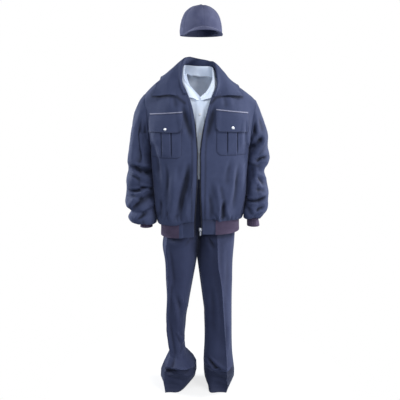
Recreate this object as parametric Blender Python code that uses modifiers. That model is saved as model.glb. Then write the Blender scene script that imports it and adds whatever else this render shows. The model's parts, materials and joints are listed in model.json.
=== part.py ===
"""A bus driver's uniform, worn with nobody in it: an open zipped jacket, a shirt, trousers and a peaked cap.

Metres, +Z up. The origin is the base of the neck, midway between the shoulders, where the wearer carries
the clothes. The front faces -Y and the wearer's left is at +X. The tables give x as a distance from the
middle, and a side, +1 for the wearer's left and -1 for the right, then signs it.

Each piece of cloth is a wall between two grids of points. A grid's rows run from the hem up and its
columns from the middle to the side seam, so that pieces which are sewn together share a row or a column.
"""

import math

import bmesh
import bpy
import numpy as np
from mathutils import Matrix, Vector
from mathutils.bvhtree import BVHTree

SEAM = 0.0003  # between two pieces that are sewn together
REST = 0.0005  # under a patch that lies on a panel
SIGHT = 0.03  # how far off the cloth a patch looks for what is under it
JACKET_CLOTH = 0.0020
KNIT = 0.0024
SHIRT_CLOTH = 0.0010
TROUSER_CLOTH = 0.0014
CAP_CLOTH = 0.0018
PATCH_CLOTH = 0.0014
LEFT, RIGHT = 1, -1
SIDES = {"left": LEFT, "right": RIGHT}

FINISHES = {
    # slot: linear red, green and blue, then roughness and metallic
    "jacket_twill": ((0.045, 0.058, 0.125), 0.85, 0.0),
    "rib_knit": ((0.048, 0.030, 0.060), 0.95, 0.0),
    "trouser_cloth": ((0.030, 0.038, 0.090), 0.80, 0.0),
    "shirt_cotton": ((0.72, 0.80, 0.96), 0.75, 0.0),
    "cap_cotton": ((0.075, 0.080, 0.190), 0.85, 0.0),
    "piping": ((0.30, 0.31, 0.42), 0.50, 0.0),
    "bright_metal": ((0.80, 0.80, 0.82), 0.25, 1.0),
    "shirt_button": ((0.85, 0.88, 0.95), 0.35, 0.0),
    "zip_tape": ((0.020, 0.024, 0.050), 0.85, 0.0),
}


def clear_scene():
    for old in list(bpy.data.objects):
        bpy.data.objects.remove(old, do_unlink=True)


def material(slot):
    found = bpy.data.materials.get(slot)
    if found:
        return found
    colour, roughness, metallic = FINISHES[slot]
    made = bpy.data.materials.new(slot)
    made.use_nodes = True
    shader = made.node_tree.nodes["Principled BSDF"]
    shader.inputs["Base Color"].default_value = (*colour, 1.0)
    shader.inputs["Roughness"].default_value = roughness
    shader.inputs["Metallic"].default_value = metallic
    return made


def add_object(name, mesh, slot):
    group = bpy.data.collections.get("bus_driver_uniform")
    if not group:
        group = bpy.data.collections.new("bus_driver_uniform")
        bpy.context.scene.collection.children.link(group)
    made = bpy.data.objects.new(name, mesh)
    mesh.materials.append(material(slot))
    group.objects.link(made)
    return made


def through(knots, values, at):
    """A smooth curve through the values of a table, which never swings past them."""
    knots, values, at = (np.asarray(a, float) for a in (knots, values, at))
    if knots[0] > knots[-1]:
        knots, values = knots[::-1], values[::-1]
    steps = np.diff(knots)
    slopes = np.diff(values) / steps
    same_way = slopes[:-1] * slopes[1:] > 0
    mean = 2 * slopes[:-1] * slopes[1:] / np.where(same_way, slopes[:-1] + slopes[1:], 1)
    tangents = np.concatenate(([slopes[0]], np.where(same_way, mean, 0), [slopes[-1]]))
    i = np.clip(np.searchsorted(knots, at, side="right") - 1, 0, len(steps) - 1)
    t = np.clip((at - knots[i]) / steps[i], 0, 1)
    rise = t * t * (3 - 2 * t)
    bend = t * (1 - t) ** 2 * tangents[i] - t * t * (1 - t) * tangents[i + 1]
    return values[i] + (values[i + 1] - values[i]) * rise + bend * steps[i]


def columns(table):
    return [np.array(c, float) for c in zip(*table)]


def unit(vectors):
    return vectors / np.maximum(np.linalg.norm(vectors, axis=-1, keepdims=True), 1e-12)


def normals_of(grid, closed=False):
    """Unit normals of a grid of points, from its rows and columns."""
    if closed:
        along = np.roll(grid, -1, axis=1) - np.roll(grid, 1, axis=1)
    else:
        along = np.gradient(grid, axis=1)
    return unit(np.cross(along, np.gradient(grid, axis=0)))


def flattened(normals, axis):
    """Normals with no part along an axis, so that a rim faces its neighbour squarely."""
    normals = normals.copy()
    normals[..., axis] = 0
    return unit(normals)


def mirrored(points, side):
    return points * np.array([side, 1, 1])


def cells(outer, closed):
    """The grid's cells as corners, each turned so that the cut across it is its shorter diagonal."""
    rows, cols = outer.shape[:2]
    for i in range(rows - 1):
        for j in range(cols if closed else cols - 1):
            k = (j + 1) % cols
            cell = [(i, j), (i, k), (i + 1, k), (i + 1, j)]
            a, b, c, d = (outer[corner] for corner in cell)
            if np.linalg.norm(a - c) > np.linalg.norm(b - d):
                cell = cell[1:] + cell[:1]
            yield cell


def rims(rows, cols, closed):
    """The edges of a grid, each as a run of corners."""
    for i in (0, rows - 1):
        edge = [(i, j) for j in range(cols)]
        yield edge + edge[:1] if closed else edge
    if not closed:
        for j in (0, cols - 1):
            yield [(i, j) for i in range(rows)]


def wall(name, outer, inner, slot, closed=False):
    """One solid between two grids of points, with rims where the grids end."""
    bm = bmesh.new()
    layers = [[[bm.verts.new(p) for p in row] for row in grid] for grid in (outer, inner)]
    for cell in cells(outer, closed):
        for layer in layers:
            p, q, r, s = (layer[i][j] for i, j in cell)
            bm.faces.new((p, q, r))
            bm.faces.new((p, r, s))
    for edge in rims(*outer.shape[:2], closed):
        for (i, j), (m, n) in zip(edge, edge[1:]):
            bm.faces.new((layers[0][i][j], layers[0][m][n], layers[1][m][n], layers[1][i][j]))
    bmesh.ops.recalc_face_normals(bm, faces=bm.faces)
    mesh = bpy.data.meshes.new(name)
    bm.to_mesh(mesh)
    bm.free()
    mesh.shade_smooth()
    mesh.set_sharp_from_angle(angle=math.radians(50))
    return add_object(name, mesh, slot)


def turned(name, profile, slot, place, steps=12):
    """A small turned piece: its profile as (radius, height), and the matrix that places it."""
    bm = bmesh.new()
    verts = [bm.verts.new((r, 0, z)) for r, z in profile]
    for a, b in zip(verts, verts[1:]):
        bm.edges.new((a, b))
    mesh = bpy.data.meshes.new(name)
    bm.to_mesh(mesh)
    bm.free()
    piece = add_object(name, mesh, slot)
    piece.matrix_world = place
    screw = piece.modifiers.new("Turned", "SCREW")
    screw.steps = screw.render_steps = steps
    screw.use_merge_vertices = True
    screw.merge_threshold = 0.00001
    return piece


def standing_on(point, normal):
    """A matrix that stands a piece's Z along a normal, at a point."""
    turn = Vector(normal).to_track_quat("Z", "Y").to_matrix().to_4x4()
    return Matrix.Translation(Vector(point)) @ turn


class Panel:
    """A panel of cloth that patches lie on."""

    def __init__(self, grid, normals, side=LEFT):
        self.grid, self.normals, self.side = grid, normals, side
        self.tree = tree_of([grid if side == LEFT else grid[:, ::-1]])

    def sample(self, row, col, layer):
        rows, cols = layer.shape[:2]
        i = int(np.clip(math.floor(row), 0, rows - 2))
        j = int(np.clip(math.floor(col), 0, cols - 2))
        u, v = col - j, row - i
        low = (1 - u) * layer[i, j] + u * layer[i, j + 1]
        high = (1 - u) * layer[i + 1, j] + u * layer[i + 1, j + 1]
        return (1 - v) * low + v * high

    def find(self, x, z):
        """The row and column under a point of the front view, by Newton's steps."""
        rows, cols = self.grid.shape[:2]
        row, col = rows * 0.6, cols / 2
        step = 0.01
        for _ in range(40):
            here = self.sample(row, col, self.grid)
            across = (self.sample(row, col + step, self.grid) - here) / step
            up = (self.sample(row + step, col, self.grid) - here) / step
            jacobian = np.array([[across[0], up[0]], [across[2], up[2]]])
            move = np.linalg.solve(jacobian, np.array([x - here[0], z - here[2]]))
            col = float(np.clip(col + np.clip(move[0], -1, 1), 0, cols - 1.02))
            row = float(np.clip(row + np.clip(move[1], -1, 1), 0, rows - 1.02))
        return row, col

    def over(self, x, z, height=0.0):
        """The point at a height off the cloth over an x and z of the front view, and the normal there."""
        row, col = self.find(x, z)
        normal = unit(self.sample(row, col, self.normals))
        return self.sample(row, col, self.grid) + normal * height, normal


def triangle_spots(steps):
    """Weights of the corners at points spread over a triangle."""
    marks = np.arange(steps + 1) / steps
    return [(a, b, 1 - a - b) for a in marks for b in marks if a + b <= 1 + 1e-9]


def height_over(tree, point, facing):
    """How far a point stands off the topmost surface under it, along a normal."""
    hit = tree.ray_cast(Vector(point + facing * SIGHT), Vector(-facing))
    return SIGHT if hit[0] is None else hit[3] - SIGHT


def seated(low, facing, thick, tree, rest):
    """A patch's under face, raised along its normals until every part of it is clear of what it lies on."""
    low = low.copy()
    spots = triangle_spots(6)
    for _ in range(5):
        need = np.zeros(low.shape[:2])
        for p, q, r, s in cells(low + facing * thick, closed=False):
            for corners in ((p, q, r), (p, r, s)):
                for weights in spots:
                    point = sum(w * low[c] for w, c in zip(weights, corners))
                    normal = unit(sum(w * facing[c] for w, c in zip(weights, corners)))
                    gap = height_over(tree, point, normal)
                    for w, corner in zip(weights, corners):
                        if w > 0.3:
                            need[corner] = max(need[corner], rest - gap)
        low += facing * need[..., None]
    return low


def patch(name, panel, xs, zs, rise, slot, under=None, thickness=PATCH_CLOTH):
    """A piece that lies on a panel: x and z as grids, and how far its upper face rises over plain cloth."""
    low, facing = np.empty((*xs.shape, 3)), np.empty((*xs.shape, 3))
    for index in np.ndindex(xs.shape):
        low[index], facing[index] = panel.over(xs[index], zs[index], REST)
    thick = (thickness + np.broadcast_to(rise, xs.shape))[..., None]
    low = seated(low, facing, thick, under or panel.tree, REST)
    wall(name, low + facing * thick, low, slot)
    return Panel(low + facing * thick, facing, panel.side)


def seat_on(panel, x, z, radius):
    """Where a small round piece stands on a patch: the matrix that just clears the cloth under its foot."""
    point, normal = panel.over(x, z)
    across = unit(np.cross(normal, [0.0, 0.0, 1.0]))
    up = np.cross(across, normal)
    most = 0.0
    for turn in np.linspace(0, 2 * math.pi, 12, endpoint=False):
        for reach in (0.5 * radius, radius):
            spot = point + (across * math.cos(turn) + up * math.sin(turn)) * reach
            most = max(most, -height_over(panel.tree, spot, normal))
    return standing_on(point + normal * (most + SEAM), normal)


def tree_of(grids):
    """A search tree of the outer faces of some grids."""
    points, faces = [], []
    for grid in grids:
        start = len(points)
        cols = grid.shape[1]
        points += [tuple(p) for p in grid.reshape(-1, 3)]
        for cell in cells(grid, closed=False):
            p, q, r, s = (start + i * cols + j for i, j in cell)
            faces += [(p, q, r), (p, r, s)]
    return BVHTree.FromPolygons(points, faces)


def pushed_clear(grid, tree, distance, rows):
    """The grid with some of its rows moved off a surface, wherever they come nearer than a distance."""
    grid = grid.copy()
    for i in rows:
        for j in range(grid.shape[1]):
            point = Vector(grid[i, j])
            near, normal, _, _ = tree.find_nearest(point)
            if normal.dot(point - near) < 0 and (point - near).length > 0.03:
                continue
            gap = normal.dot(point - near)
            if gap < distance:
                grid[i, j] += np.array(normal) * (distance - gap)
    return grid


class Bodice:
    """The cut of a jacket's or a shirt's body: fronts and back, from the hem to the neck and shoulders."""

    def __init__(self, **sizes):
        self.__dict__.update(sizes)
        self.below = len(self.rings) - 1
        self.above = len(self.front_rows) - 1
        self.armpit = self.rings[-1][0]

    def lift(self, side, x, z):
        """The shoulders sit unevenly, and the hem hangs at a slant."""
        high = np.clip((z - self.armpit) / (self.neck_point[1] - self.armpit), 0, 1) ** 1.5
        low = np.clip((z - self.armpit) / (self.rings[0][0] - self.armpit), 0, 1.3)
        return side * x * self.hem_tilt * low - side * self.shoulder_lift * high * np.clip(x / 0.19, 0, 1)

    def armhole(self, half, row):
        """A point of the armhole: row 0 at the armpit and the last at the shoulder point."""
        turn = math.pi * (1 - row / self.above)
        share = (1 - math.cos(turn)) / 2
        side_x, top = self.rings[-1][1], self.shoulder_point
        x = top[0] + (side_x - top[0]) * share - self.armhole_dip * math.sin(turn) ** 2
        y = self.armhole_depth[half] * math.sin(turn) ** 0.8 if 0 < row < self.above else 0.0
        z = top[1] + (self.armpit - top[1]) * share
        return x, (-y if half == "front" else y), z

    def ring(self, share, half, z, half_width, depth, squareness, droop, x_in):
        angle = share * math.pi / 2
        x = x_in + (half_width - x_in) * np.sin(angle) ** (2 / squareness)
        y = depth * np.cos(angle) ** (2 / squareness) + SEAM / 2
        return np.stack([x, -y if half == "front" else y, z - droop * share**2], axis=1)

    def slope(self, share, half, row, x_in, y_in, z_in, squareness):
        """A row above the armpit, from the middle or neckline to the armhole or shoulder seam."""
        x_out, y_out, z_out = self.armhole(half, row)
        angle = share * math.pi / 2
        across = np.sin(angle) ** (2 / squareness)
        y = y_out + (y_in - y_out) * np.cos(angle) ** (2 / squareness)
        y = y + (SEAM / 2 if half == "back" else -SEAM / 2)
        x = x_in + (x_out - x_in) * across
        z = z_in + (z_out - z_in) * across**self.fall
        return np.stack([x, y, z], axis=1)

    def front_half(self, side):
        share = np.linspace(0, 1, self.cols + 1)
        edge_z, edge_right, edge_left = columns(self.front_edge)
        edge_x = edge_left if side == LEFT else -edge_right
        rows = []
        for z, half_width, front, _, squareness, droop in self.rings[:-1]:
            x_in = through(edge_z, edge_x, z)
            row = self.ring(share, "front", z, half_width, front, squareness, droop, x_in)
            low = (z - self.armpit) / (self.rings[0][0] - self.armpit)
            row[:, 2] += self.front_raise[side] * (1 - share) ** 2 * low
            rows.append(row)
        for row, (z_in, x_in, y_in, squareness) in enumerate(self.front_rows):
            if row < self.neckline_row:
                x_in = through(edge_z, edge_x, z_in)
            rows.append(self.slope(share, "front", row, x_in, y_in, z_in, squareness))
        grid = np.array(rows)
        for row in range(1, ZIP_STRAIGHT):
            straight = grid[0, :2] + (grid[ZIP_STRAIGHT, :2] - grid[0, :2]) * row / ZIP_STRAIGHT
            grid[row, :2] += (straight - grid[row, :2]) * [[self.zipped], [self.zipped * 0.55]]
        grid[..., 2] += self.lift(side, grid[..., 0], grid[..., 2])
        return grid

    def back_half(self, side):
        share = np.linspace(0, 1, self.cols + 1)
        rows = []
        for z, half_width, _, back, squareness, droop in self.rings[:-1]:
            rows.append(self.ring(share, "back", z, half_width, back, squareness, droop, 0.0))
        for row, (z_in, y_in, squareness) in enumerate(self.back_rows):
            rows.append(self.slope(share, "back", row, 0.0, y_in, z_in, squareness))
        rows.append(self.back_top())
        grid = np.array(rows)
        grid[..., 2] += self.lift(side, grid[..., 0], grid[..., 2])
        return grid

    def back_top(self):
        """The neckline from the centre back to the neck point, then the shoulder seam."""
        turn = np.linspace(0, math.pi / 2, self.neck_cols + 1)
        share = np.linspace(0, 1, self.cols - self.neck_cols + 1)[1:]
        x = self.neck_point[0] * np.sin(turn)
        y = self.back_neck[0] * np.cos(turn) + SEAM / 2
        z = self.back_neck[1] + (self.neck_point[1] - self.back_neck[1]) * np.sin(turn)
        seam_x = self.neck_point[0] + (self.shoulder_point[0] - self.neck_point[0]) * share
        seam_z = self.neck_point[1] + (self.shoulder_point[1] - self.neck_point[1]) * share**self.fall
        seam = np.stack([seam_x, np.full_like(share, SEAM / 2), seam_z], axis=1)
        return np.concatenate([np.stack([x, y, z], axis=1), seam])

    def front_panel(self, side, folds=()):
        grid = mirrored(self.front_half(side), side)
        grid = folded(grid, self.facing(grid, side), folds)
        normals = self.facing(grid, side)
        normals[0] = flattened(normals[0], 2)
        normals[-1] = flattened(normals[-1], 1)
        normals[: self.below + 1, -1] = flattened(normals[: self.below + 1, -1], 1)
        return Panel(grid, normals, side)

    def facing(self, grid, side):
        """Outward normals of a front on either side."""
        return mirrored(normals_of(mirrored(grid, side)), side)

    def back_panel(self, folds=()):
        halves = {side: mirrored(self.back_half(side), side) for side in (LEFT, RIGHT)}
        grid = np.concatenate([halves[RIGHT][:, :0:-1], halves[LEFT]], axis=1)
        grid = folded(grid, -normals_of(grid), folds)
        normals = -normals_of(grid)
        normals[0] = flattened(normals[0], 2)
        sewn = [j for j in range(2 * self.cols + 1) if abs(j - self.cols) >= self.neck_cols]
        normals[-1, sewn] = flattened(normals[-1, sewn], 1)
        for j in (0, 2 * self.cols):
            normals[: self.below + 1, j] = flattened(normals[: self.below + 1, j], 1)
        return Panel(grid, normals, RIGHT)

    def armhole_loop(self, panels, name, between):
        """The armhole's edge from the shoulder down the front to the armpit and up the back, unsigned."""
        front = panels[name].grid[self.below :, -1]
        back = panels["back"].grid[self.below :, -1 if name == "left" else 0]
        loop = np.concatenate([front[::-1], back[1:-1]])
        if between:
            middles = (loop + np.roll(loop, -1, axis=0)) / 2
            loop = np.stack([loop, middles], axis=1).reshape(-1, 3)
        return mirrored(loop, SIDES[name]) + np.array([2 * SEAM, 0, 0])

    def necklines(self, panels):
        """The neckline on each side, from the centre back round to its front end."""
        lines = {}
        for name, side in SIDES.items():
            back = [panels["back"].grid[-1, self.cols + side * j] for j in range(self.neck_cols)]
            front = panels[name].grid[self.below + self.neckline_row :, 0][::-1]
            lines[name] = np.array([*back, *front])
        return lines


def folded(grid, normals, folds):
    """The grid with each fold pressed in, or raised where its depth is below 0."""
    x, z = grid[..., 0], grid[..., 2]
    depth = np.zeros_like(x)
    for x0, z0, x1, z1, half_width, into in folds:
        dx, dz = x1 - x0, z1 - z0
        along = ((x - x0) * dx + (z - z0) * dz) / (dx * dx + dz * dz)
        near = np.clip(along, 0, 1)
        away = np.hypot(x - x0 - near * dx, z - z0 - near * dz)
        depth += into * np.exp(-((away / half_width) ** 2)) * np.sin(math.pi * np.clip(along, 0.1, 0.9))
    depth[0] = depth[-1] = 0
    depth[:, 0] = depth[:, -1] = 0
    return grid - normals * depth[..., None]


ZIP_STRAIGHT = 4  # the zip keeps the front's edge straight, past the blouse, up to this row
JACKET = Bodice(
    zipped=1.0,
    cols=8,
    neck_cols=4,
    neckline_row=3,
    rings=(
        # z, half width, front depth, back depth, squareness, droop at the side
        (-0.566, 0.1810, 0.138, 0.144, 2.3, 0.000),
        (-0.573, 0.1920, 0.147, 0.152, 2.3, 0.012),
        (-0.556, 0.2030, 0.155, 0.158, 2.4, 0.010),
        (-0.520, 0.2085, 0.160, 0.159, 2.4, 0.004),
        (-0.470, 0.2130, 0.161, 0.157, 2.5, 0.000),
        (-0.415, 0.2155, 0.160, 0.152, 2.7, 0.000),
        (-0.355, 0.2185, 0.158, 0.150, 2.8, 0.000),
        (-0.295, 0.2220, 0.156, 0.148, 2.8, 0.000),
        (-0.235, 0.2245, 0.154, 0.146, 2.8, 0.000),
    ),
    front_rows=(
        # z, x, y at the zip or on the neckline, squareness
        (-0.235, 0.000, -0.154, 2.8),
        (-0.160, 0.000, -0.153, 2.6),
        (-0.080, 0.000, -0.147, 2.3),
        (0.000, 0.053, -0.128, 1.8),
        (0.038, 0.074, -0.088, 1.5),
        (0.066, 0.084, -0.043, 1.3),
        (0.080, 0.087, 0.000, 1.2),
    ),
    back_rows=(
        # z and y at the centre back, squareness
        (-0.235, 0.146, 2.8),
        (-0.160, 0.149, 2.6),
        (-0.085, 0.147, 2.3),
        (-0.020, 0.137, 2.0),
        (0.025, 0.120, 1.7),
        (0.054, 0.099, 1.5),
    ),
    front_edge=(
        # z, x of the wearer's right front, x of the left front
        (-0.640, -0.0390, 0.0120),
        (-0.555, -0.0260, 0.0100),
        (-0.463, -0.0210, 0.0060),
        (-0.370, -0.0155, 0.0045),
        (-0.238, -0.0150, 0.0055),
        (-0.143, -0.0220, 0.0180),
        (-0.078, -0.0280, 0.0290),
        (0.000, -0.0590, 0.0500),
    ),
    neck_point=(0.087, 0.080),
    back_neck=(0.076, 0.070),
    shoulder_point=(0.250, -0.017),
    fall=1.8,
    armhole_dip=0.005,
    armhole_depth={"front": 0.078, "back": 0.070},
    shoulder_lift=0.022,
    hem_tilt=0.066,
    front_raise={LEFT: 0.014, RIGHT: 0.004},
)

JACKET_FOLDS = {
    "right": (
        # x and z of the start, x and z of the end, half width, depth
        (-0.075, -0.330, -0.098, -0.560, 0.022, 0.0080),
        (-0.150, -0.400, -0.165, -0.556, 0.018, 0.0060),
        (-0.045, -0.440, -0.060, -0.560, 0.016, -0.0035),
        (-0.062, -0.050, -0.046, -0.180, 0.016, 0.0050),
    ),
    "left": (
        (0.060, -0.400, 0.105, -0.562, 0.020, 0.0080),
        (0.150, -0.330, 0.160, -0.520, 0.022, -0.0045),
        (0.172, -0.440, 0.150, -0.560, 0.016, 0.0060),
        (0.062, -0.050, 0.046, -0.180, 0.016, 0.0050),
    ),
    "back": (
        (-0.060, -0.350, -0.080, -0.560, 0.022, 0.0080),
        (0.030, -0.400, 0.040, -0.560, 0.020, 0.0055),
        (0.110, -0.330, 0.125, -0.560, 0.022, 0.0070),
        (-0.150, -0.440, -0.140, -0.560, 0.018, 0.0055),
        (-0.170, -0.120, -0.110, -0.260, 0.020, 0.0065),
        (0.170, -0.130, 0.115, -0.270, 0.020, 0.0065),
    ),
}

SLEEVE_RINGS = {
    # outer x, outer z, inner x, inner z, middle y, half depth
    "right": (
        (0.271, -0.034, 0.2295, -0.240, 0.000, 0.078),
        (0.293, -0.082, 0.2310, -0.249, 0.000, 0.078),
        (0.304, -0.132, 0.2305, -0.259, 0.000, 0.078),
        (0.313, -0.187, 0.2295, -0.275, 0.000, 0.078),
        (0.322, -0.245, 0.2285, -0.299, 0.000, 0.076),
        (0.331, -0.297, 0.2270, -0.327, -0.001, 0.073),
        (0.329, -0.338, 0.2280, -0.356, -0.003, 0.070),
        (0.338, -0.380, 0.2270, -0.388, -0.006, 0.074),
        (0.339, -0.428, 0.2262, -0.428, -0.011, 0.069),
        (0.345, -0.470, 0.2250, -0.466, -0.017, 0.074),
        (0.342, -0.506, 0.2230, -0.495, -0.021, 0.073),
        (0.318, -0.543, 0.2215, -0.530, -0.026, 0.062),
        (0.331, -0.561, 0.2130, -0.554, -0.031, 0.070),
        (0.325, -0.584, 0.2110, -0.574, -0.034, 0.067),
        (0.300, -0.595, 0.2160, -0.590, -0.036, 0.050),
        (0.2865, -0.586, 0.2210, -0.582, -0.037, 0.0380),
        (0.2825, -0.568, 0.2225, -0.565, -0.037, 0.0355),
    ),
    "left": (
        (0.268, -0.068, 0.2295, -0.239, 0.000, 0.078),
        (0.288, -0.120, 0.2310, -0.247, 0.000, 0.078),
        (0.307, -0.188, 0.2310, -0.259, 0.000, 0.078),
        (0.308, -0.240, 0.2300, -0.274, 0.000, 0.072),
        (0.318, -0.286, 0.2280, -0.298, -0.001, 0.075),
        (0.309, -0.312, 0.2280, -0.324, -0.003, 0.071),
        (0.294, -0.333, 0.2290, -0.346, -0.005, 0.066),
        (0.300, -0.375, 0.2275, -0.382, -0.009, 0.072),
        (0.309, -0.418, 0.2270, -0.418, -0.013, 0.074),
        (0.313, -0.456, 0.2270, -0.455, -0.017, 0.072),
        (0.312, -0.482, 0.2260, -0.479, -0.021, 0.066),
        (0.314, -0.508, 0.2220, -0.502, -0.024, 0.070),
        (0.306, -0.531, 0.2140, -0.523, -0.027, 0.066),
        (0.293, -0.549, 0.2105, -0.543, -0.030, 0.056),
        (0.2850, -0.559, 0.2120, -0.556, -0.031, 0.045),
        (0.2815, -0.550, 0.2160, -0.548, -0.031, 0.0375),
        (0.2790, -0.534, 0.2180, -0.532, -0.031, 0.0355),
    ),
}
SLEEVE_FOLDS = {
    # ring and turn of the start, ring and turn of the end, half width in rings, depth; turns are in
    # degrees, and 90 is the front
    "right": (
        (5.5, 20, 7.0, 130, 0.8, 0.0090),
        (8.6, 30, 8.2, 150, 0.7, 0.0080),
        (11.6, 30, 9.4, 150, 0.8, 0.0100),
        (2.4, 70, 5.0, 110, 0.8, 0.0060),
        (6.6, 200, 8.0, 320, 0.8, 0.0075),
        (10.6, 210, 9.6, 330, 0.7, 0.0075),
    ),
    "left": (
        (3.4, 60, 5.2, 140, 0.8, 0.0090),
        (6.6, 20, 6.4, 150, 0.7, 0.0090),
        (10.4, 20, 10.6, 150, 0.7, 0.0085),
        (7.6, 80, 9.2, 130, 0.8, 0.0055),
        (4.0, 210, 5.2, 320, 0.8, 0.0075),
        (10.2, 200, 10.6, 330, 0.7, 0.0075),
    ),
}
CUFF_RIBS = 18
CUFF_RISE = 0.0009
CUFF_TUCK = 0.0010
CUFFS = {
    # the lower edge: z, outer x, inner x, middle y, half depth
    "right": (-0.612, 0.2780, 0.2215, -0.037, 0.0315),
    "left": (-0.604, 0.2770, 0.2205, -0.031, 0.0315),
}

BAND_HEIGHT = 0.070
BAND_TUCK = 0.0026  # the band's cloth starts this far inside the hem's edge
BAND_TOP = 0.0020  # and this far above it
BAND_DRAW = 0.990  # how much smaller the band is at its lower edge
BAND_RIBS = 56
BAND_RISE = 0.0012
TAB_LENGTH = {"right": 0.068, "left": 0.060}

JACKET_COLLAR_LINE = (
    # station, roll x, y, z, leaf edge x, y, z; from the centre back to the front end
    (0, 0.0000, 0.068, 0.150, 0.000, 0.124, 0.046),
    (1, 0.0240, 0.063, 0.150, 0.052, 0.122, 0.046),
    (2, 0.0430, 0.047, 0.149, 0.102, 0.104, 0.046),
    (3, 0.0555, 0.024, 0.147, 0.143, 0.062, 0.046),
    (4, 0.0620, -0.004, 0.141, 0.168, 0.000, 0.046),
    (5, 0.0700, -0.042, 0.110, 0.187, -0.044, 0.031),
    (6, 0.0740, -0.092, 0.060, 0.200, -0.078, 0.006),
    (7, 0.0600, -0.137, 0.008, 0.206, -0.102, -0.020),
)

POCKETS = {
    # inner x, outer x, top z, bottom z, corner radius, pleat's middle x
    "right": (-0.080, -0.214, -0.104, -0.275, 0.026, -0.149),
    "left": (0.072, 0.204, -0.100, -0.262, 0.026, 0.140),
}
PLEAT_HALF = 0.0215
PLEAT_RISE = 0.0022
PLEAT_STEP = 0.0006
FLAPS = {
    # inner x, outer x, top z at the inner end, top z at the outer end, bottom z, corner radius
    "right": (-0.077, -0.219, -0.078, -0.089, -0.162, 0.016),
    "left": (0.071, 0.210, -0.067, -0.083, -0.156, 0.014),
}
FLAP_SLANT = {"right": 0.000, "left": -0.006}  # how much lower the flap's outer corner hangs
PIPING = {"width": 0.006, "rise": 0.0008, "above": 0.0004}
STUDS = {"right": (-0.151, -0.148), "left": (0.142, -0.141)}
STUD_PROFILE = (
    # radius, height
    (0.0, 0.0031),
    (0.0026, 0.0030),
    (0.0050, 0.0024),
    (0.0062, 0.0012),
    (0.0062, 0.0),
    (0.0, 0.0),
)

TAPE_REST = 0.0009
TAPE_UNDER = 0.010
TAPE_BEYOND = 0.007
TAPE_CLOTH = 0.0010
SLIDER = {"z": -0.598, "width": 0.0125, "height": 0.0140, "web": 0.0016, "channel": 0.0013, "plate": 0.0012}
BAIL = {"width": 0.0016, "bar": 0.0012, "reach": 0.0038, "length": 0.0104}
PULL = {
    "width": 0.0064,
    "bar": 0.0012,
    "window": 0.0094,
    "length": 0.0300,
    "thick": 0.0010,
    "stand_off": 0.0014,
    "rise": 0.0010,
}

SHIRT = Bodice(
    zipped=0.0,
    cols=5,
    neck_cols=2,
    neckline_row=3,
    rings=(
        # z, half width, front depth, back depth, squareness, droop at the side
        (-0.455, 0.1450, 0.1034, 0.104, 2.2, 0.0),
        (-0.400, 0.1440, 0.1034, 0.104, 2.2, 0.0),
        (-0.360, 0.1470, 0.105, 0.106, 2.2, 0.0),
        (-0.320, 0.1580, 0.114, 0.112, 2.3, 0.0),
        (-0.255, 0.1660, 0.118, 0.115, 2.4, 0.0),
        (-0.190, 0.1750, 0.118, 0.116, 2.4, 0.0),
    ),
    front_rows=(
        # z, x, y at the placket or on the neckline, squareness
        (-0.190, 0.0000, -0.118, 2.4),
        (-0.120, 0.0000, -0.117, 2.2),
        (-0.055, 0.0000, -0.114, 2.0),
        (-0.018, 0.0060, -0.111, 1.8),
        (0.022, 0.0360, -0.087, 1.5),
        (0.058, 0.0540, -0.045, 1.3),
        (0.080, 0.0600, 0.000, 1.2),
    ),
    back_rows=(
        # z and y at the centre back, squareness
        (-0.190, 0.116, 2.4),
        (-0.120, 0.118, 2.2),
        (-0.055, 0.114, 2.0),
        (-0.005, 0.106, 1.8),
        (0.035, 0.093, 1.5),
        (0.062, 0.077, 1.3),
    ),
    front_edge=((-0.640, -0.00015, 0.00015), (0.000, -0.00015, 0.00015)),
    neck_point=(0.060, 0.080),
    back_neck=(0.060, 0.076),
    shoulder_point=(0.186, 0.004),
    fall=1.4,
    armhole_dip=0.004,
    armhole_depth={"front": 0.062, "back": 0.058},
    shoulder_lift=0.020,
    hem_tilt=0.0,
    front_raise={LEFT: 0.0, RIGHT: 0.0},
)
SHIRT_COLLAR_LINE = (
    # station, roll x, y, z, leaf edge x, y, z; from the centre back to the front end
    (0, 0.0000, 0.053, 0.118, 0.000, 0.072, 0.088),
    (1, 0.0400, 0.039, 0.120, 0.052, 0.052, 0.090),
    (2, 0.0530, 0.000, 0.116, 0.069, 0.003, 0.090),
    (3, 0.0540, -0.048, 0.078, 0.070, -0.056, 0.052),
    (4, 0.0360, -0.092, 0.030, 0.060, -0.101, 0.020),
    (5, 0.0050, -0.1155, -0.008, 0.048, -0.1215, -0.012),
)
COLLARS = {
    # roll is the fold's radius; lift is how much higher the roll sits on the wearer's right, where the front
    # ends stand wider by spread and the leaf's points reach further out
    "jacket": {
        "line": JACKET_COLLAR_LINE,
        "roll": 0.0043,
        "bulge": 0.004,
        "lift": 0.010,
        "spread": 0.008,
        "reach": 0.09,
        "cloth": JACKET_CLOTH,
        "clear": 0.0036,
        "slot": "jacket_twill",
    },
    "shirt": {
        "line": SHIRT_COLLAR_LINE,
        "roll": 0.0032,
        "bulge": 0.002,
        "lift": 0.005,
        "spread": 0.0,
        "reach": 0.0,
        "cloth": 0.0014,
        "clear": 0.0016,
        "slot": "shirt_cotton",
    },
}
SHIRT_SLEEVE_RINGS = (
    # outer x, outer z, inner x, inner z, middle y, half depth
    (0.214, -0.022, 0.195, -0.188, 0.000, 0.060),
    (0.242, -0.058, 0.216, -0.192, 0.000, 0.059),
    (0.263, -0.106, 0.237, -0.204, 0.000, 0.058),
    (0.278, -0.165, 0.240, -0.228, 0.000, 0.058),
    (0.285, -0.212, 0.240, -0.246, 0.000, 0.058),
)
PLACKET_HALF = 0.016
PLACKET_ENDS = (-0.036, -0.440)
SHIRT_BUTTONS = (-0.085, -0.170, -0.255, -0.340)
BUTTON_PROFILE = ((0.0, 0.0016), (0.0044, 0.0020), (0.0054, 0.0014), (0.0054, 0.0), (0.0, 0.0))

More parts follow.
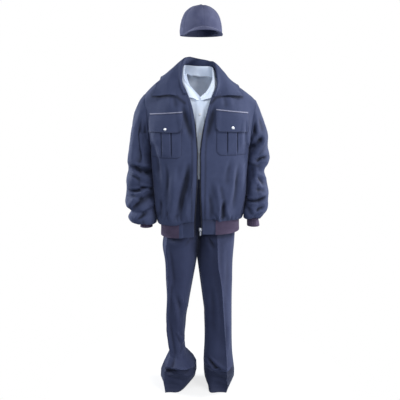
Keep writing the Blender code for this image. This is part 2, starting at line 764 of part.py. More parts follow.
WAISTBAND = {"height": 0.036, "cloth": 0.0022, "stand_out": 1.003}
TROUSER_RINGS = {
    # z, inner x, outer x, front depth, back depth, leg share, crease share
    "right": (
        (-0.4105, 0.0000, 0.1520, 0.110, 0.112, 0.00, 0.45),
        (-0.460, 0.0000, 0.1600, 0.113, 0.122, 0.00, 0.45),
        (-0.530, 0.0000, 0.1660, 0.115, 0.128, 0.10, 0.45),
        (-0.590, 0.0005, 0.1685, 0.113, 0.128, 0.45, 0.45),
        (-0.640, 0.0010, 0.1690, 0.109, 0.121, 1.00, 0.45),
        (-0.700, 0.0020, 0.1780, 0.104, 0.110, 1.00, 0.45),
        (-0.775, 0.0080, 0.1690, 0.098, 0.096, 1.00, 0.45),
        (-0.874, 0.0330, 0.1645, 0.092, 0.084, 1.00, 0.45),
        (-0.975, 0.0550, 0.1610, 0.088, 0.078, 1.00, 0.45),
        (-1.100, 0.0690, 0.1655, 0.086, 0.080, 1.00, 0.42),
        (-1.190, 0.0760, 0.1560, 0.090, 0.080, 1.00, 0.38),
        (-1.245, 0.0700, 0.1495, 0.104, 0.078, 1.00, 0.36),
        (-1.286, 0.0280, 0.1690, 0.124, 0.082, 1.00, 0.40),
        (-1.304, 0.0180, 0.1780, 0.112, 0.082, 1.00, 0.45),
        (-1.345, 0.0170, 0.1940, 0.119, 0.084, 1.00, 0.48),
        (-1.385, 0.0250, 0.1960, 0.118, 0.082, 1.00, 0.50),
        (-1.420, 0.0500, 0.1840, 0.112, 0.078, 1.00, 0.50),
    ),
    "left": (
        (-0.4105, 0.0000, 0.1520, 0.110, 0.112, 0.00, 0.48),
        (-0.460, 0.0000, 0.1600, 0.113, 0.122, 0.00, 0.46),
        (-0.530, 0.0000, 0.1650, 0.115, 0.128, 0.10, 0.45),
        (-0.590, 0.0005, 0.1660, 0.114, 0.128, 0.45, 0.45),
        (-0.640, 0.0010, 0.1650, 0.112, 0.121, 1.00, 0.46),
        (-0.700, 0.0015, 0.1620, 0.108, 0.110, 1.00, 0.48),
        (-0.775, 0.0015, 0.1565, 0.104, 0.096, 1.00, 0.53),
        (-0.860, 0.0030, 0.1550, 0.099, 0.086, 1.00, 0.60),
        (-0.975, 0.0190, 0.1540, 0.094, 0.080, 1.00, 0.67),
        (-1.100, 0.0220, 0.1550, 0.090, 0.078, 1.00, 0.71),
        (-1.190, 0.0220, 0.1565, 0.092, 0.078, 1.00, 0.73),
        (-1.250, 0.0190, 0.1590, 0.104, 0.080, 1.00, 0.73),
        (-1.296, 0.0170, 0.1640, 0.121, 0.084, 1.00, 0.70),
        (-1.316, 0.0180, 0.1670, 0.111, 0.084, 1.00, 0.66),
        (-1.350, 0.0190, 0.1710, 0.117, 0.086, 1.00, 0.62),
        (-1.385, 0.0230, 0.1700, 0.118, 0.084, 1.00, 0.60),
        (-1.420, 0.0330, 0.1560, 0.112, 0.080, 1.00, 0.60),
    ),
}
LEG_COLS = 8
HEM_ROUNDNESS = (
    # z, and 1 for an ellipse or less for a squarer ring
    (-1.420, 0.76),
    (-1.345, 0.87),
    (-1.285, 1.0),
)
HIP_SQUARENESS = 2.3
CREASE_RIDGE = {"front": 0.007, "back": 0.004}
CREASE_SPREAD = 0.16
LEG_FOLDS = {
    # x and z of the start, x and z of the end, half width, depth
    ("right", "front"): (
        (0.150, -0.660, 0.132, -0.860, 0.014, -0.0045),
        (0.145, -0.930, 0.138, -1.230, 0.014, -0.0050),
        (0.060, -0.620, 0.020, -0.740, 0.014, 0.0050),
        (0.078, -1.130, 0.045, -1.320, 0.014, -0.0060),
    ),
    ("right", "back"): (
        (0.060, -0.690, 0.130, -0.720, 0.014, 0.0050),
        (0.150, -1.150, 0.080, -1.260, 0.016, 0.0070),
    ),
    ("left", "front"): (
        (0.050, -0.620, 0.012, -0.740, 0.014, 0.0050),
        (0.140, -1.180, 0.090, -1.280, 0.016, 0.0060),
        (0.036, -1.266, 0.112, -1.308, 0.014, 0.0060),
    ),
    ("left", "back"): (
        (0.060, -0.690, 0.130, -0.720, 0.014, 0.0050),
        (0.140, -1.170, 0.070, -1.280, 0.016, 0.0070),
    ),
}
FLY = {"width": 0.034, "top": -0.414, "bottom": -0.555, "corner": 0.022}

CAP = {
    "centre": (0.004, 0.000, 0.252),
    "yaw": 7.5,
    "half_width": 0.0925,
    "half_depth": 0.106,
    "height": 0.128,
    "fullness": 2.5,
    "hole": 0.0035,
}
CAP_RIM = (
    # degrees from the front, rise of the rim
    (0, 0.033),
    (20, 0.028),
    (40, 0.014),
    (60, 0.000),
    (90, 0.000),
    (180, 0.000),
)
CAP_ROWS = 7
CAP_COLS = 4
VISOR = {
    "half_turn": 56,
    "half_width": 0.085,
    "reach": 0.066,
    "end_y": -0.064,
    "end_z": -0.005,
    "edge_z": 0.017,
    "seat": 0.0010,
    "arch": 0.0030,
    "cloth": 0.0030,
    "cols": 12,
    "rows": 3,
}
CAP_BUTTON = ((0.0, 0.0042), (0.0045, 0.0036), (0.0070, 0.0020), (0.0075, 0.0), (0.0, 0.0))


def jacket_body():
    panels = {name: JACKET.front_panel(side, JACKET_FOLDS[name]) for name, side in SIDES.items()}
    panels["back"] = JACKET.back_panel(JACKET_FOLDS["back"])
    for name, panel in panels.items():
        node = "jacket_back" if name == "back" else f"jacket_front_{name}"
        wall(node, panel.grid, panel.grid - panel.normals * JACKET_CLOTH, "jacket_twill")
    return panels


def tube_rings(table, turn, roundness=0.9):
    """Rings of a sleeve or cuff, each slanted from its outer to its inner point."""
    across = np.sign(np.cos(turn)) * np.abs(np.cos(turn)) ** roundness
    depth = -np.sign(np.sin(turn)) * np.abs(np.sin(turn)) ** roundness
    rings = []
    for x_out, z_out, x_in, z_in, y, half_depth in table:
        x = (x_out + x_in) / 2 + (x_out - x_in) / 2 * across
        z = (z_out + z_in) / 2 + (z_out - z_in) / 2 * across
        rings.append(np.stack([x, y + half_depth * depth, z], axis=1))
    return rings


def press_sleeve(grid, turn, folds):
    """Troughs that run slantwise round a sleeve, clear of its two ends."""
    ring = np.arange(len(grid))[:, None]
    degrees = np.degrees(turn)[None, :]
    depth = np.zeros(grid.shape[:2])
    for start_ring, start, end_ring, end, half_width, into in folds:
        along = (degrees - start) / (end - start)
        middle = start_ring + (end_ring - start_ring) * np.clip(along, 0, 1)
        ends = np.clip(np.minimum(along, 1 - along) * 3 + 0.4, 0, 1)
        depth += into * ends * np.exp(-(((ring - middle) / half_width) ** 2))
    depth[:2] = depth[-2:] = 0
    return grid + normals_of(grid, closed=True) * depth[..., None]


def sleeve(node, loop, table, cloth, slot, side, folds=()):
    """A sleeve from its armhole loop down, in unsigned x and then signed."""
    turn = np.linspace(0, 2 * math.pi, len(loop), endpoint=False)
    grid = press_sleeve(np.array([loop, *tube_rings(table, turn)]), turn, folds)
    normals = -normals_of(grid, closed=True)
    normals[0, :, 0] = np.minimum(normals[0, :, 0], 0)
    normals[0] = unit(normals[0])
    inner = grid - normals * cloth
    wall(node, mirrored(grid, side), mirrored(inner, side), slot, closed=True)
    return inner[-1]


def jacket_sleeves(panels):
    for name, side in SIDES.items():
        loop = JACKET.armhole_loop(panels, name, between=True)
        node = f"jacket_sleeve_{name}"
        end = sleeve(node, loop, SLEEVE_RINGS[name], JACKET_CLOTH, "jacket_twill", side, SLEEVE_FOLDS[name])
        jacket_cuff(name, side, end)


def jacket_cuff(name, side, sleeve_end):
    """A ribbed cuff that hangs from the turned-in end of the sleeve."""
    turn = np.linspace(0, 2 * math.pi, 2 * CUFF_RIBS, endpoint=False)
    z, x_out, x_in, y, half_depth = CUFFS[name]
    low = tube_rings(((x_out, z, x_in, z, y, half_depth),), turn, 1.0)[0]
    at = np.linspace(0, len(sleeve_end), 2 * CUFF_RIBS, endpoint=False)
    loop = np.concatenate([sleeve_end, sleeve_end[:1]])
    top = np.stack([np.interp(at, np.arange(len(loop)), loop[:, k]) for k in range(3)], axis=1)
    top += unit(top.mean(axis=0) - top) * (CUFF_RISE + 2 * SEAM)
    grid = np.array([top + [0, 0, CUFF_TUCK], low])
    outward = flattened(grid - grid.mean(axis=1, keepdims=True), 2)
    rise = np.where(np.arange(2 * CUFF_RIBS) % 2, 0.0, CUFF_RISE)[None, :, None]
    outer, inner = grid + outward * rise, grid - outward * KNIT
    wall(f"jacket_cuff_{name}", mirrored(outer, side), mirrored(inner, side), "rib_knit", closed=True)


def along_line(points, values, at):
    """Points, or values that go with them, at distances along a bent line."""
    lengths = np.concatenate(([0], np.cumsum(np.linalg.norm(np.diff(points, axis=0), axis=1))))
    return np.stack([np.interp(at, lengths, values[:, k]) for k in range(3)], axis=1), lengths[-1]


def waistband(panels):
    """The band under the hem: a woven tab at each end, and ribbed knit round the rest.

    Gives the inner face of each tab.
    """
    line, facing = [], []
    for name, order in (("right", 1), ("back", 1), ("left", -1)):
        row = panels[name].grid[0][::order]
        line += list(row)
        facing += list(np.abs(panels[name].normals[0][::order]) * np.sign(row * [1, 1, 0]))
    line, facing = np.array(line), unit(flattened(np.array(facing), 2))
    length = along_line(line, line, [0.0])[1]
    tab_ends = (TAB_LENGTH["right"], length - TAB_LENGTH["left"])
    stretches = {
        "jacket_waist_tab_right": np.linspace(0, tab_ends[0] - SEAM, 6),
        "jacket_waist_rib": np.linspace(*tab_ends, 2 * BAND_RIBS + 1),
        "jacket_waist_tab_left": np.linspace(tab_ends[1] + SEAM, length, 6),
    }
    tabs = {}
    for node, at in stretches.items():
        top = along_line(line, line, at)[0] - along_line(line, facing, at)[0] * BAND_TUCK
        normals = flattened(along_line(line, facing, at)[0], 2)
        low = top * [BAND_DRAW, BAND_DRAW, 1] - [0, 0, BAND_HEIGHT]
        top = top + [0, 0, BAND_TOP]
        grid = np.array([top, low])
        if node == "jacket_waist_rib":
            rise = np.where(np.arange(len(at)) % 2, BAND_RISE, 0.0)[None, :, None]
            wall(node, grid + normals * rise, grid - normals * KNIT, "rib_knit")
        else:
            tabs[node.rsplit("_", 1)[1]] = grid - normals * KNIT
            wall(node, grid, grid - normals * KNIT, "jacket_twill")
    return tabs


def collar(garment, necklines, body):
    """A stand that rises from the neckline, rolls over, and falls outwards as the leaf."""
    cut = COLLARS[garment]
    knots = columns(cut["line"])
    stations = np.arange(0, len(cut["line"]) - 0.5, 0.5)
    sides = []
    for name, side in SIDES.items():
        seam = np.stack([np.interp(stations, knots[0], necklines[name][:, k]) for k in range(3)], axis=1)
        line = np.stack([through(knots[0], k, stations) for k in knots[1:]], axis=1)
        from_end = stations[-1] - stations
        if side == RIGHT:
            line[:, 0] += cut["spread"] * np.clip((stations - 3) / 2, 0, 1) * np.clip(0.4 + from_end, 0, 1)
        else:
            line[:, 3] *= 1 - cut["reach"] * np.clip((stations - 3) / 3, 0, 1)
        roll = line[:, :3] * [side, 1, 1] - [0, 0, side * cut["lift"]] * np.clip(stations, 0, 2)[:, None] / 2
        edge = line[:, 3:] * [side, 1, 1]
        edge[:, 2] -= side * 2 * cut["lift"] * np.clip(line[:, 3] / 0.17, 0, 1) * np.clip(from_end / 2, 0, 1)
        up = unit(roll - seam)
        out = edge - roll
        out = unit(out - up * np.sum(out * up, axis=1, keepdims=True))
        fold = roll + out * 2 * cut["roll"]
        puff = unit(np.cross(edge - fold, np.gradient(edge, axis=0)))
        puff *= np.sign(np.sum(puff * (up + out), axis=1, keepdims=True)) * 4 * cut["bulge"]
        lifted = 0.0008 + 0.0010 * (stations > stations[-1] - 1.2)[:, None]
        rows = [seam + up * lifted, (seam + roll) / 2, roll, roll + (out + up) * cut["roll"], fold]
        rows += [fold + (edge - fold) * w + puff * w * (1 - w) for w in (0.33, 0.67, 1.0)]
        sides.append(np.array(rows))
    grid = np.concatenate([sides[1][:, :0:-1], sides[0]], axis=1)
    for _ in range(3):
        grid = pushed_clear(grid, body, cut["cloth"] + cut["clear"], range(4, len(grid)))
    normals = normals_of(grid)
    back = grid.shape[1] // 2
    normals *= np.sign(normals[-2, back, 1])
    wall(f"{garment}_collar", grid, grid - normals * cut["cloth"], cut["slot"])


def rounded_bottom(xs, inner, outer, bottom, radius):
    """The z of an edge whose corner nearest the middle is rounded."""
    reach = np.clip(radius - np.abs(xs - inner), 0, radius)
    return bottom + radius - np.sqrt(radius**2 - reach**2)


def chest_pockets(panels):
    for name, side in SIDES.items():
        inner, outer, top, bottom, radius, pleat = POCKETS[name]
        edge = side * (PLEAT_HALF + PLEAT_STEP)
        marks = [pleat - edge, pleat - side * PLEAT_HALF, pleat, pleat + side * PLEAT_HALF, pleat + edge]
        corner = inner + side * radius * np.array([0.0, 0.2, 0.55, 1.0])
        xs = np.array([*corner, *marks, (marks[-1] + outer) / 2, outer])
        ends = rounded_bottom(xs, inner, outer, bottom, radius)
        zs = ends[None, :] + (top - ends[None, :]) * np.linspace(0, 1, 6)[:, None]
        pleated = np.abs(xs - pleat) <= PLEAT_HALF + PLEAT_STEP / 2
        fade = np.clip((zs - bottom) / 0.02, 0.3, 1) * np.clip((top - zs) / 0.03, 0.1, 1)
        spread = np.tile(xs, (6, 1))
        rise = PLEAT_RISE * pleated * fade
        lying = patch(f"jacket_pocket_{name}", panels[name], spread, zs, rise, "jacket_twill")
        flap(name, side, panels[name], lying)


def flap(name, side, panel, pocket):
    """A flap that is sewn down along its top and lies over the pocket, with its stud and the piping above."""
    inner, outer, top_in, top_out, bottom, radius = FLAPS[name]
    corner = inner + side * radius * np.array([0.0, 0.2, 0.55, 1.0])
    xs = np.array([*corner, *np.linspace(inner, outer, 7)[2:]])
    across = (xs - inner) / (outer - inner)
    ends = rounded_bottom(xs, inner, outer, bottom, radius) + FLAP_SLANT[name] * across
    tops = top_in + (top_out - top_in) * across
    zs = ends[None, :] + (tops - ends)[None, :] * np.array([0.0, 0.3, 0.6, 0.85, 1.0])[:, None]
    spread = np.tile(xs, (len(zs), 1))
    order = 1 if side == LEFT else -1
    under = tree_of([panel.grid[:, ::order], pocket.grid[:, ::order]])
    lying = patch(f"jacket_flap_{name}", panel, spread, zs, 0.0, "jacket_twill", under)
    place = seat_on(lying, *STUDS[name], STUD_PROFILE[-2][0])
    turned(f"jacket_stud_{name}", STUD_PROFILE, "bright_metal", place)
    piped = np.linspace(inner, outer, 6)
    tops = top_in + (top_out - top_in) * np.linspace(0, 1, 6)[None, :]
    zs = tops + PIPING["above"] + PIPING["width"] * np.array([0.0, 0.5, 1.0])[:, None]
    rise = PIPING["rise"] * np.array([0.3, 1.0, 0.3])[:, None]
    patch(f"jacket_piping_{name}", panel, np.tile(piped, (3, 1)), zs, rise, "piping")


def zip_tapes(panels, tabs):
    """A tape behind each front's edge, from the neckline to the foot of the waistband."""
    lines = {}
    last = JACKET.below + JACKET.neckline_row
    for name, side in SIDES.items():
        panel = panels[name]
        edge = panel.grid[:last, 0]
        foot = edge[0] * [BAND_DRAW, BAND_DRAW, 1] - [0, 0, BAND_HEIGHT]
        line = np.array([foot, (foot + edge[0]) / 2, *edge]) + [0, JACKET_CLOTH, 0]
        shifts = np.array([-TAPE_BEYOND, 0.0, TAPE_UNDER]) * side
        grid = np.stack([line + [shift, 0.0, 0.0] for shift in shifts], axis=1)
        behind = tree_of([panel.grid - panel.normals * JACKET_CLOTH, tabs[name]])
        backwards = np.broadcast_to([0.0, 1.0, 0.0], grid.shape)
        grid = seated(grid, backwards, 0.0, behind, TAPE_REST)
        grid[:, 0, 1] = grid[:, 1, 1]
        wall(f"zip_tape_{name}", grid, grid + [0, TAPE_CLOTH, 0], "zip_tape")
        lines[name] = grid
    return lines


def outlined(name, outlines, depth, slot, place):
    """A flat piece as thick as its depth: an outline, and perhaps a second one that is its hole."""
    curve = bpy.data.curves.new(name, "CURVE")
    curve.dimensions = "2D"
    curve.fill_mode = "BOTH"
    curve.extrude = depth / 2
    for points in outlines:
        spline = curve.splines.new("POLY")
        spline.points.add(len(points) - 1)
        for point, (x, y) in zip(spline.points, points):
            point.co = (x, y, 0, 1)
        spline.use_cyclic_u = True
    guide = bpy.data.objects.new(name, curve)
    bpy.context.scene.collection.objects.link(guide)
    mesh = bpy.data.meshes.new_from_object(guide.evaluated_get(bpy.context.evaluated_depsgraph_get()))
    bpy.data.objects.remove(guide)
    bm = bmesh.new()
    bm.from_mesh(mesh)
    bmesh.ops.remove_doubles(bm, verts=bm.verts, dist=0.00001)
    bmesh.ops.triangulate(bm, faces=bm.faces)
    bmesh.ops.recalc_face_normals(bm, faces=bm.faces)
    bm.to_mesh(mesh)
    bm.free()
    piece = add_object(name, mesh, slot)
    piece.matrix_world = place
    return piece


def axes(point, x_axis, y_axis):
    """A matrix that puts a flat piece's own X and Y along two world axes, at a point."""
    x_axis, y_axis = Vector(x_axis), Vector(y_axis)
    turn = Matrix((x_axis, y_axis, x_axis.cross(y_axis))).transposed()
    return Matrix.Translation(Vector(point)) @ turn.to_4x4()


def zip_slider(tape):
    """The slider on the left tape's free edge, its bail, and the pull tab that hangs from the bail."""
    edge_x = float(np.interp(SLIDER["z"], tape[:, 0, 2], tape[:, 0, 0]))
    tape_y = float(np.interp(SLIDER["z"], tape[:, 0, 2], tape[:, :2, 1].mean(axis=1)))
    half, web = SLIDER["width"] / 2, SLIDER["web"] / 2
    near = TAPE_CLOTH / 2 + SLIDER["channel"]
    far = near + SLIDER["plate"]
    centre = (edge_x - SEAM - web, tape_y + TAPE_CLOTH / 2, SLIDER["z"])
    quarter = ((half, far), (half, near), (web, near), (web, -near), (half, -near), (half, -far))
    section = [*quarter, *((-x, y) for x, y in reversed(quarter))]
    outlined("zip_slider", [section], SLIDER["height"], "bright_metal", axes(centre, (1, 0, 0), (0, 1, 0)))
    face = centre[1] - far
    outer, inner = BAIL["length"] / 2, BAIL["length"] / 2 - BAIL["bar"]
    turns = np.linspace(0, math.pi, 9)
    arch = [(outer * math.cos(t), SEAM + (BAIL["reach"] - SEAM) * math.sin(t) ** 0.6) for t in turns]
    arch += [
        (inner * math.cos(t), SEAM + (BAIL["reach"] - BAIL["bar"] - SEAM) * math.sin(t) ** 0.6)
        for t in turns[::-1]
    ]
    foot = (centre[0], face, SLIDER["z"])
    outlined("zip_bail", [arch], BAIL["width"], "bright_metal", axes(foot, (0, 0, 1), (0, -1, 0)))
    pivot = (centre[0], face - PULL["stand_off"], SLIDER["z"] + PULL["rise"])
    half, bar = PULL["width"] / 2, PULL["bar"] / 2
    tip = PULL["length"] - half
    round_end = [(half * math.cos(t), -tip - half * math.sin(t)) for t in np.linspace(0, math.pi, 7)]
    plate = [(-half, bar), (half, bar), *round_end]
    gap = half - PULL["bar"]
    window = [(-gap, -bar), (gap, -bar), (gap, -bar - PULL["window"]), (-gap, -bar - PULL["window"])]
    outlined("zip_pull", [plate, window], PULL["thick"], "bright_metal", axes(pivot, (1, 0, 0), (0, 0, 1)))


class Pair:
    """Two fronts that meet at the middle, as one panel."""

    side = LEFT

    def __init__(self, panels):
        self.panels = panels
        self.tree = tree_of([panels["right"].grid[:, ::-1], panels["left"].grid])

    def over(self, x, z, height=0.0):
        return self.panels["left" if x >= 0 else "right"].over(x, z, height)


def shirt():
    panels = {name: SHIRT.front_panel(side) for name, side in SIDES.items()}
    panels["back"] = SHIRT.back_panel()
    for name, panel in panels.items():
        node = "shirt_back" if name == "back" else f"shirt_front_{name}"
        wall(node, panel.grid, panel.grid - panel.normals * SHIRT_CLOTH, "shirt_cotton")
    for name, side in SIDES.items():
        loop = SHIRT.armhole_loop(panels, name, between=False)
        sleeve(f"shirt_sleeve_{name}", loop, SHIRT_SLEEVE_RINGS, SHIRT_CLOTH, "shirt_cotton", side)
    fronts = Pair(panels)
    xs = np.linspace(-PLACKET_HALF, PLACKET_HALF, 5)
    zs = np.linspace(*PLACKET_ENDS, 7)
    across, down = np.meshgrid(xs, zs)
    placket = patch("shirt_placket", fronts, across, down, 0.0, "shirt_cotton")
    for number, z in enumerate(SHIRT_BUTTONS, 1):
        place = seat_on(placket, 0.0, z, BUTTON_PROFILE[-2][0])
        turned(f"shirt_button_{number}", BUTTON_PROFILE, "shirt_button", place, steps=8)
    return panels


def leg_half(name, half):
    """A front or back of the trousers: rows from the hem up, columns from the inseam to the side seam."""
    v = np.linspace(0, 1, LEG_COLS + 1)
    forward = -1 if half == "front" else 1
    rows = []
    for z, x_in, x_out, front, back, leg, crease_share in reversed(TROUSER_RINGS[name]):
        depth = front if half == "front" else back
        x_in = max(x_in, SEAM / 2)
        crease = x_in + (x_out - x_in) * crease_share
        turn = np.minimum(v, 1 - v) * math.pi
        reach = np.where(v < 0.5, x_in - crease, x_out - crease)
        roundness = float(np.interp(z, *columns(HEM_ROUNDNESS)))
        leg_x = crease + reach * np.clip(np.cos(turn), 0, 1) ** roundness
        ridge = CREASE_RIDGE[half] * np.clip(1 - np.abs(v - 0.5) / CREASE_SPREAD, 0, 1)
        leg_y = depth * np.sin(turn) ** roundness + ridge
        hip_x = x_in + (x_out - x_in) * np.sin(v * math.pi / 2) ** (2 / HIP_SQUARENESS)
        hip_y = depth * np.cos(v * math.pi / 2) ** (2 / HIP_SQUARENESS)
        x = leg * leg_x + (1 - leg) * hip_x
        y = forward * (leg * leg_y + (1 - leg) * hip_y + SEAM / 2)
        rows.append(np.stack([x, y, np.full_like(x, z)], axis=1))
    return np.array(rows)


def trousers():
    tops = {}
    for name, side in SIDES.items():
        pelvis = [i for i, ring in enumerate(reversed(TROUSER_RINGS[name])) if ring[5] < 1]
        for half in ("front", "back"):
            grid = leg_half(name, half)
            facing = 1 if half == "front" else -1
            grid = folded(grid, facing * normals_of(grid), LEG_FOLDS[name, half])
            normals = facing * normals_of(grid)
            normals[:, -1] = flattened(normals[:, -1], 1)
            normals[: pelvis[0], 0] = flattened(normals[: pelvis[0], 0], 1)
            normals[pelvis, 0] = flattened(normals[pelvis, 0], 0)
            for end in (0, -1):
                normals[end] = flattened(normals[end], 2)
            outer, inner = mirrored(grid, side), mirrored(grid - normals * TROUSER_CLOTH, side)
            wall(f"trouser_{half}_{name}", outer, inner, "trouser_cloth")
            tops[half, name] = outer[-1]
            if (half, name) == ("front", "left"):
                fly(Panel(grid, normals))
    trouser_waistband(tops)


def fly(panel):
    xs = np.linspace(0.0006, FLY["width"], 4)
    ends = rounded_bottom(xs, FLY["width"], 0, FLY["bottom"], FLY["corner"])
    share = np.linspace(0, 1, 6)[:, None]
    zs = ends[None, :] + (FLY["top"] - ends)[None, :] * share
    patch("trouser_fly", panel, np.tile(xs, (6, 1)), zs, 0.0, "trouser_cloth")


def trouser_waistband(tops):
    """A band that stands on the top edge of the four pieces."""
    line = [
        *tops["front", "left"][:-1],
        *tops["back", "left"][:0:-1],
        *tops["back", "right"][:-1],
        *tops["front", "right"][:0:-1],
    ]
    foot = np.array(line) + [0, 0, SEAM]
    grid = np.array([foot, foot + [0, 0, WAISTBAND["height"]]])
    grid[..., :2] *= WAISTBAND["stand_out"]
    normals = flattened(normals_of(grid, closed=True), 2)
    normals *= np.sign(np.sum(normals * (grid * [1, 1, 0]), axis=2, keepdims=True))
    wall("trouser_waistband", grid, grid - normals * WAISTBAND["cloth"], "trouser_cloth", closed=True)


def cap_point(turn, climb):
    """A point of the crown: turn from the front in radians, and climb from 0 at the rim to a quarter turn."""
    squareness = CAP["fullness"]
    reach, height = math.cos(climb) ** (2 / squareness), math.sin(climb) ** (2 / squareness)
    rise = float(through(*columns(CAP_RIM), abs(math.degrees(turn))))
    z = rise * (1 - height) + CAP["height"] * height
    x = CAP["half_width"] * reach * math.sin(turn)
    y = -CAP["half_depth"] * reach * math.cos(turn)
    return np.array([x, y, z])


def cap_placed(points):
    """Cap points turned and moved to where the head carries the cap."""
    yaw = math.radians(CAP["yaw"])
    turn = np.array([[math.cos(yaw), -math.sin(yaw), 0], [math.sin(yaw), math.cos(yaw), 0], [0, 0, 1]])
    return points @ turn.T + np.array(CAP["centre"])


def cap():
    top = math.acos((CAP["hole"] / CAP["half_width"]) ** (CAP["fullness"] / 2))
    climbs = np.linspace(0, top, CAP_ROWS + 1)
    for number in range(6):
        turns = np.radians(np.linspace(60 * number - 180, 60 * number - 120, CAP_COLS + 1))
        grid = np.array([[cap_point(t, c) for t in turns] for c in climbs])
        around = np.array([[cap_point(t + 0.01, c) - cap_point(t - 0.01, c) for t in turns] for c in climbs])
        over = [(min(c + 0.01, top), max(c - 0.01, 0)) for c in climbs]
        climbed = np.array([[cap_point(t, high) - cap_point(t, low) for t in turns] for high, low in over])
        normals = unit(np.cross(around, climbed))
        normals[0] = flattened(normals[0], 2)
        ends = np.zeros(CAP_COLS + 1)
        ends[0], ends[-1] = SEAM / 2, -SEAM / 2
        grid = grid + unit(around) * ends[None, :, None]
        outer, inner = cap_placed(grid), cap_placed(grid - normals * CAP_CLOTH)
        wall(f"cap_panel_{number + 1}", outer, inner, "cap_cotton")
    visor()
    apex = cap_placed(np.array([0.0, 0.0, CAP["height"] + 2 * SEAM]))
    turned("cap_button", CAP_BUTTON, "cap_cotton", Matrix.Translation(Vector(apex)))


def visor():
    rows = []
    spread = np.linspace(-1, 1, VISOR["cols"] + 1)
    turns = np.radians(VISOR["half_turn"]) * spread
    inner = np.array([cap_point(t, 0.0) for t in turns])
    inner += unit(inner * [1, 1, 0]) * 2 * SEAM + [0, 0, VISOR["seat"]]
    ends_y, front_y = VISOR["end_y"], -CAP["half_depth"] - VISOR["reach"]
    bow = np.cos(spread * math.pi / 2)
    outer = np.stack(
        [
            VISOR["half_width"] * np.sin(spread * math.pi / 2),
            ends_y + (front_y - ends_y) * bow**0.8,
            VISOR["end_z"] + (VISOR["edge_z"] - VISOR["end_z"]) * bow,
        ],
        axis=1,
    )
    for share in np.linspace(0, 1, VISOR["rows"] + 1):
        arch = VISOR["arch"] * 4 * share * (1 - share)
        rows.append(inner + (outer - inner) * share + [0, 0, arch])
    grid = np.array(rows)
    normals = normals_of(grid)
    normals *= np.sign(normals[..., 2:])
    wall("cap_visor", cap_placed(grid), cap_placed(grid - normals * VISOR["cloth"]), "cap_cotton")


def build():
    clear_scene()
    panels = jacket_body()
    jacket_sleeves(panels)
    tabs = waistband(panels)
    body = tree_of([panels["left"].grid, panels["right"].grid[:, ::-1], panels["back"].grid[:, ::-1]])
    collar("jacket", JACKET.necklines(panels), body)
    chest_pockets(panels)
    zip_slider(zip_tapes(panels, tabs)["left"])
    shirt_panels = shirt()
    body = tree_of(
        [shirt_panels["left"].grid, shirt_panels["right"].grid[:, ::-1], shirt_panels["back"].grid[:, ::-1]]
    )
    collar("shirt", SHIRT.necklines(shirt_panels), body)
    trousers()
    cap()


build()
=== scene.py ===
# %% [markdown]
# # A bus driver's uniform
#
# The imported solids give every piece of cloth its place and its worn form, as walls with few faces. This file
# dresses them: each piece is read back as a grid of points, drawn finer, creased as worn cloth creases, and
# given its thickness again. Then come the seams, the zip, the ribbed knit and the cap.
#
# Everything is in metres, the front faces -Y, and the garment's own left is at +X.

# %% Load the solids
import json
import math

import bmesh
import bpy
import numpy as np
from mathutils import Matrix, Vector
from mathutils.bvhtree import BVHTree

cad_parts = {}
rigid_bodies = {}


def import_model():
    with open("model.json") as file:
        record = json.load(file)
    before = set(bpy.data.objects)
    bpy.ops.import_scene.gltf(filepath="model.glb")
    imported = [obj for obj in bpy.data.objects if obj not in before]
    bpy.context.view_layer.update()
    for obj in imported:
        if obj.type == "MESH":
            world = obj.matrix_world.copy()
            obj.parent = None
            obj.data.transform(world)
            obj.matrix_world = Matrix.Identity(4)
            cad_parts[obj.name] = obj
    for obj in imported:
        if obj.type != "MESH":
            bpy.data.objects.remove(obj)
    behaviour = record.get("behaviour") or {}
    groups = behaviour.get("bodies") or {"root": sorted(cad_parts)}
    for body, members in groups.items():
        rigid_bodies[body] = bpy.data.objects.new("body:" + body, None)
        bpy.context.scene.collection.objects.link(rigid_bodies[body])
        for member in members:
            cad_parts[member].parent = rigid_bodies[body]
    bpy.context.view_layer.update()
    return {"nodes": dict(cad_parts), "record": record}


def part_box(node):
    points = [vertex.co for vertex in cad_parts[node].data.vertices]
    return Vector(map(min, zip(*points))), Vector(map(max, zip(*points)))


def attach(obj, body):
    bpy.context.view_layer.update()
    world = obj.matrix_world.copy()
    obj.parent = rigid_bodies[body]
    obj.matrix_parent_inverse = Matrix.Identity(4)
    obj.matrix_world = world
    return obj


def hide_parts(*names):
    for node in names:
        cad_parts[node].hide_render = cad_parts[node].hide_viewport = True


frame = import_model()
LEFT, RIGHT = 1, -1
SIDES = {"left": LEFT, "right": RIGHT}

# %% Helpers for node trees
def feed(tree, socket, value):
    """Sets an input to a plain value, or links it to the socket that it takes its value from."""
    if isinstance(value, bpy.types.NodeSocket):
        tree.links.new(value, socket)
    else:
        socket.default_value = value


def set_inputs(tree, node, **inputs):
    for key, value in inputs.items():
        feed(tree, node.inputs[key.replace("_", " ")], value)
    return node


def add_node(tree, kind, settings=None, **inputs):
    node = tree.nodes.new(kind)
    for key, value in (settings or {}).items():
        setattr(node, key, value)
    return set_inputs(tree, node, **inputs)


def new_material(name, **inputs):
    made = bpy.data.materials.new(name)
    made.use_nodes = True
    tree = made.node_tree
    return made, tree, set_inputs(tree, tree.nodes["Principled BSDF"], **inputs)


def object_space(tree):
    return add_node(tree, "ShaderNodeTexCoord").outputs["Object"]


def mixed(tree, share, first, second):
    """Two shaders mixed by a share from 0 to 1."""
    mix = add_node(tree, "ShaderNodeMixShader", Fac=share)
    tree.links.new(first.outputs[0], mix.inputs[1])
    tree.links.new(second.outputs[0], mix.inputs[2])
    return mix


# %% [markdown]
# ## Camera, floor and light
#
# A shop photographs clothes with a long lens from chest height, tilted a little down, in front of white
# paper that curves up behind. Here the paper is white to the camera alone: to the cloth it is a dimmer sky,
# so the folds keep their shade. One lamp stands high on the right, a weak one on the left, a low one beside
# the trousers, one by the camera lights the shirt in the gap of the zip, and two behind draw bright edges.

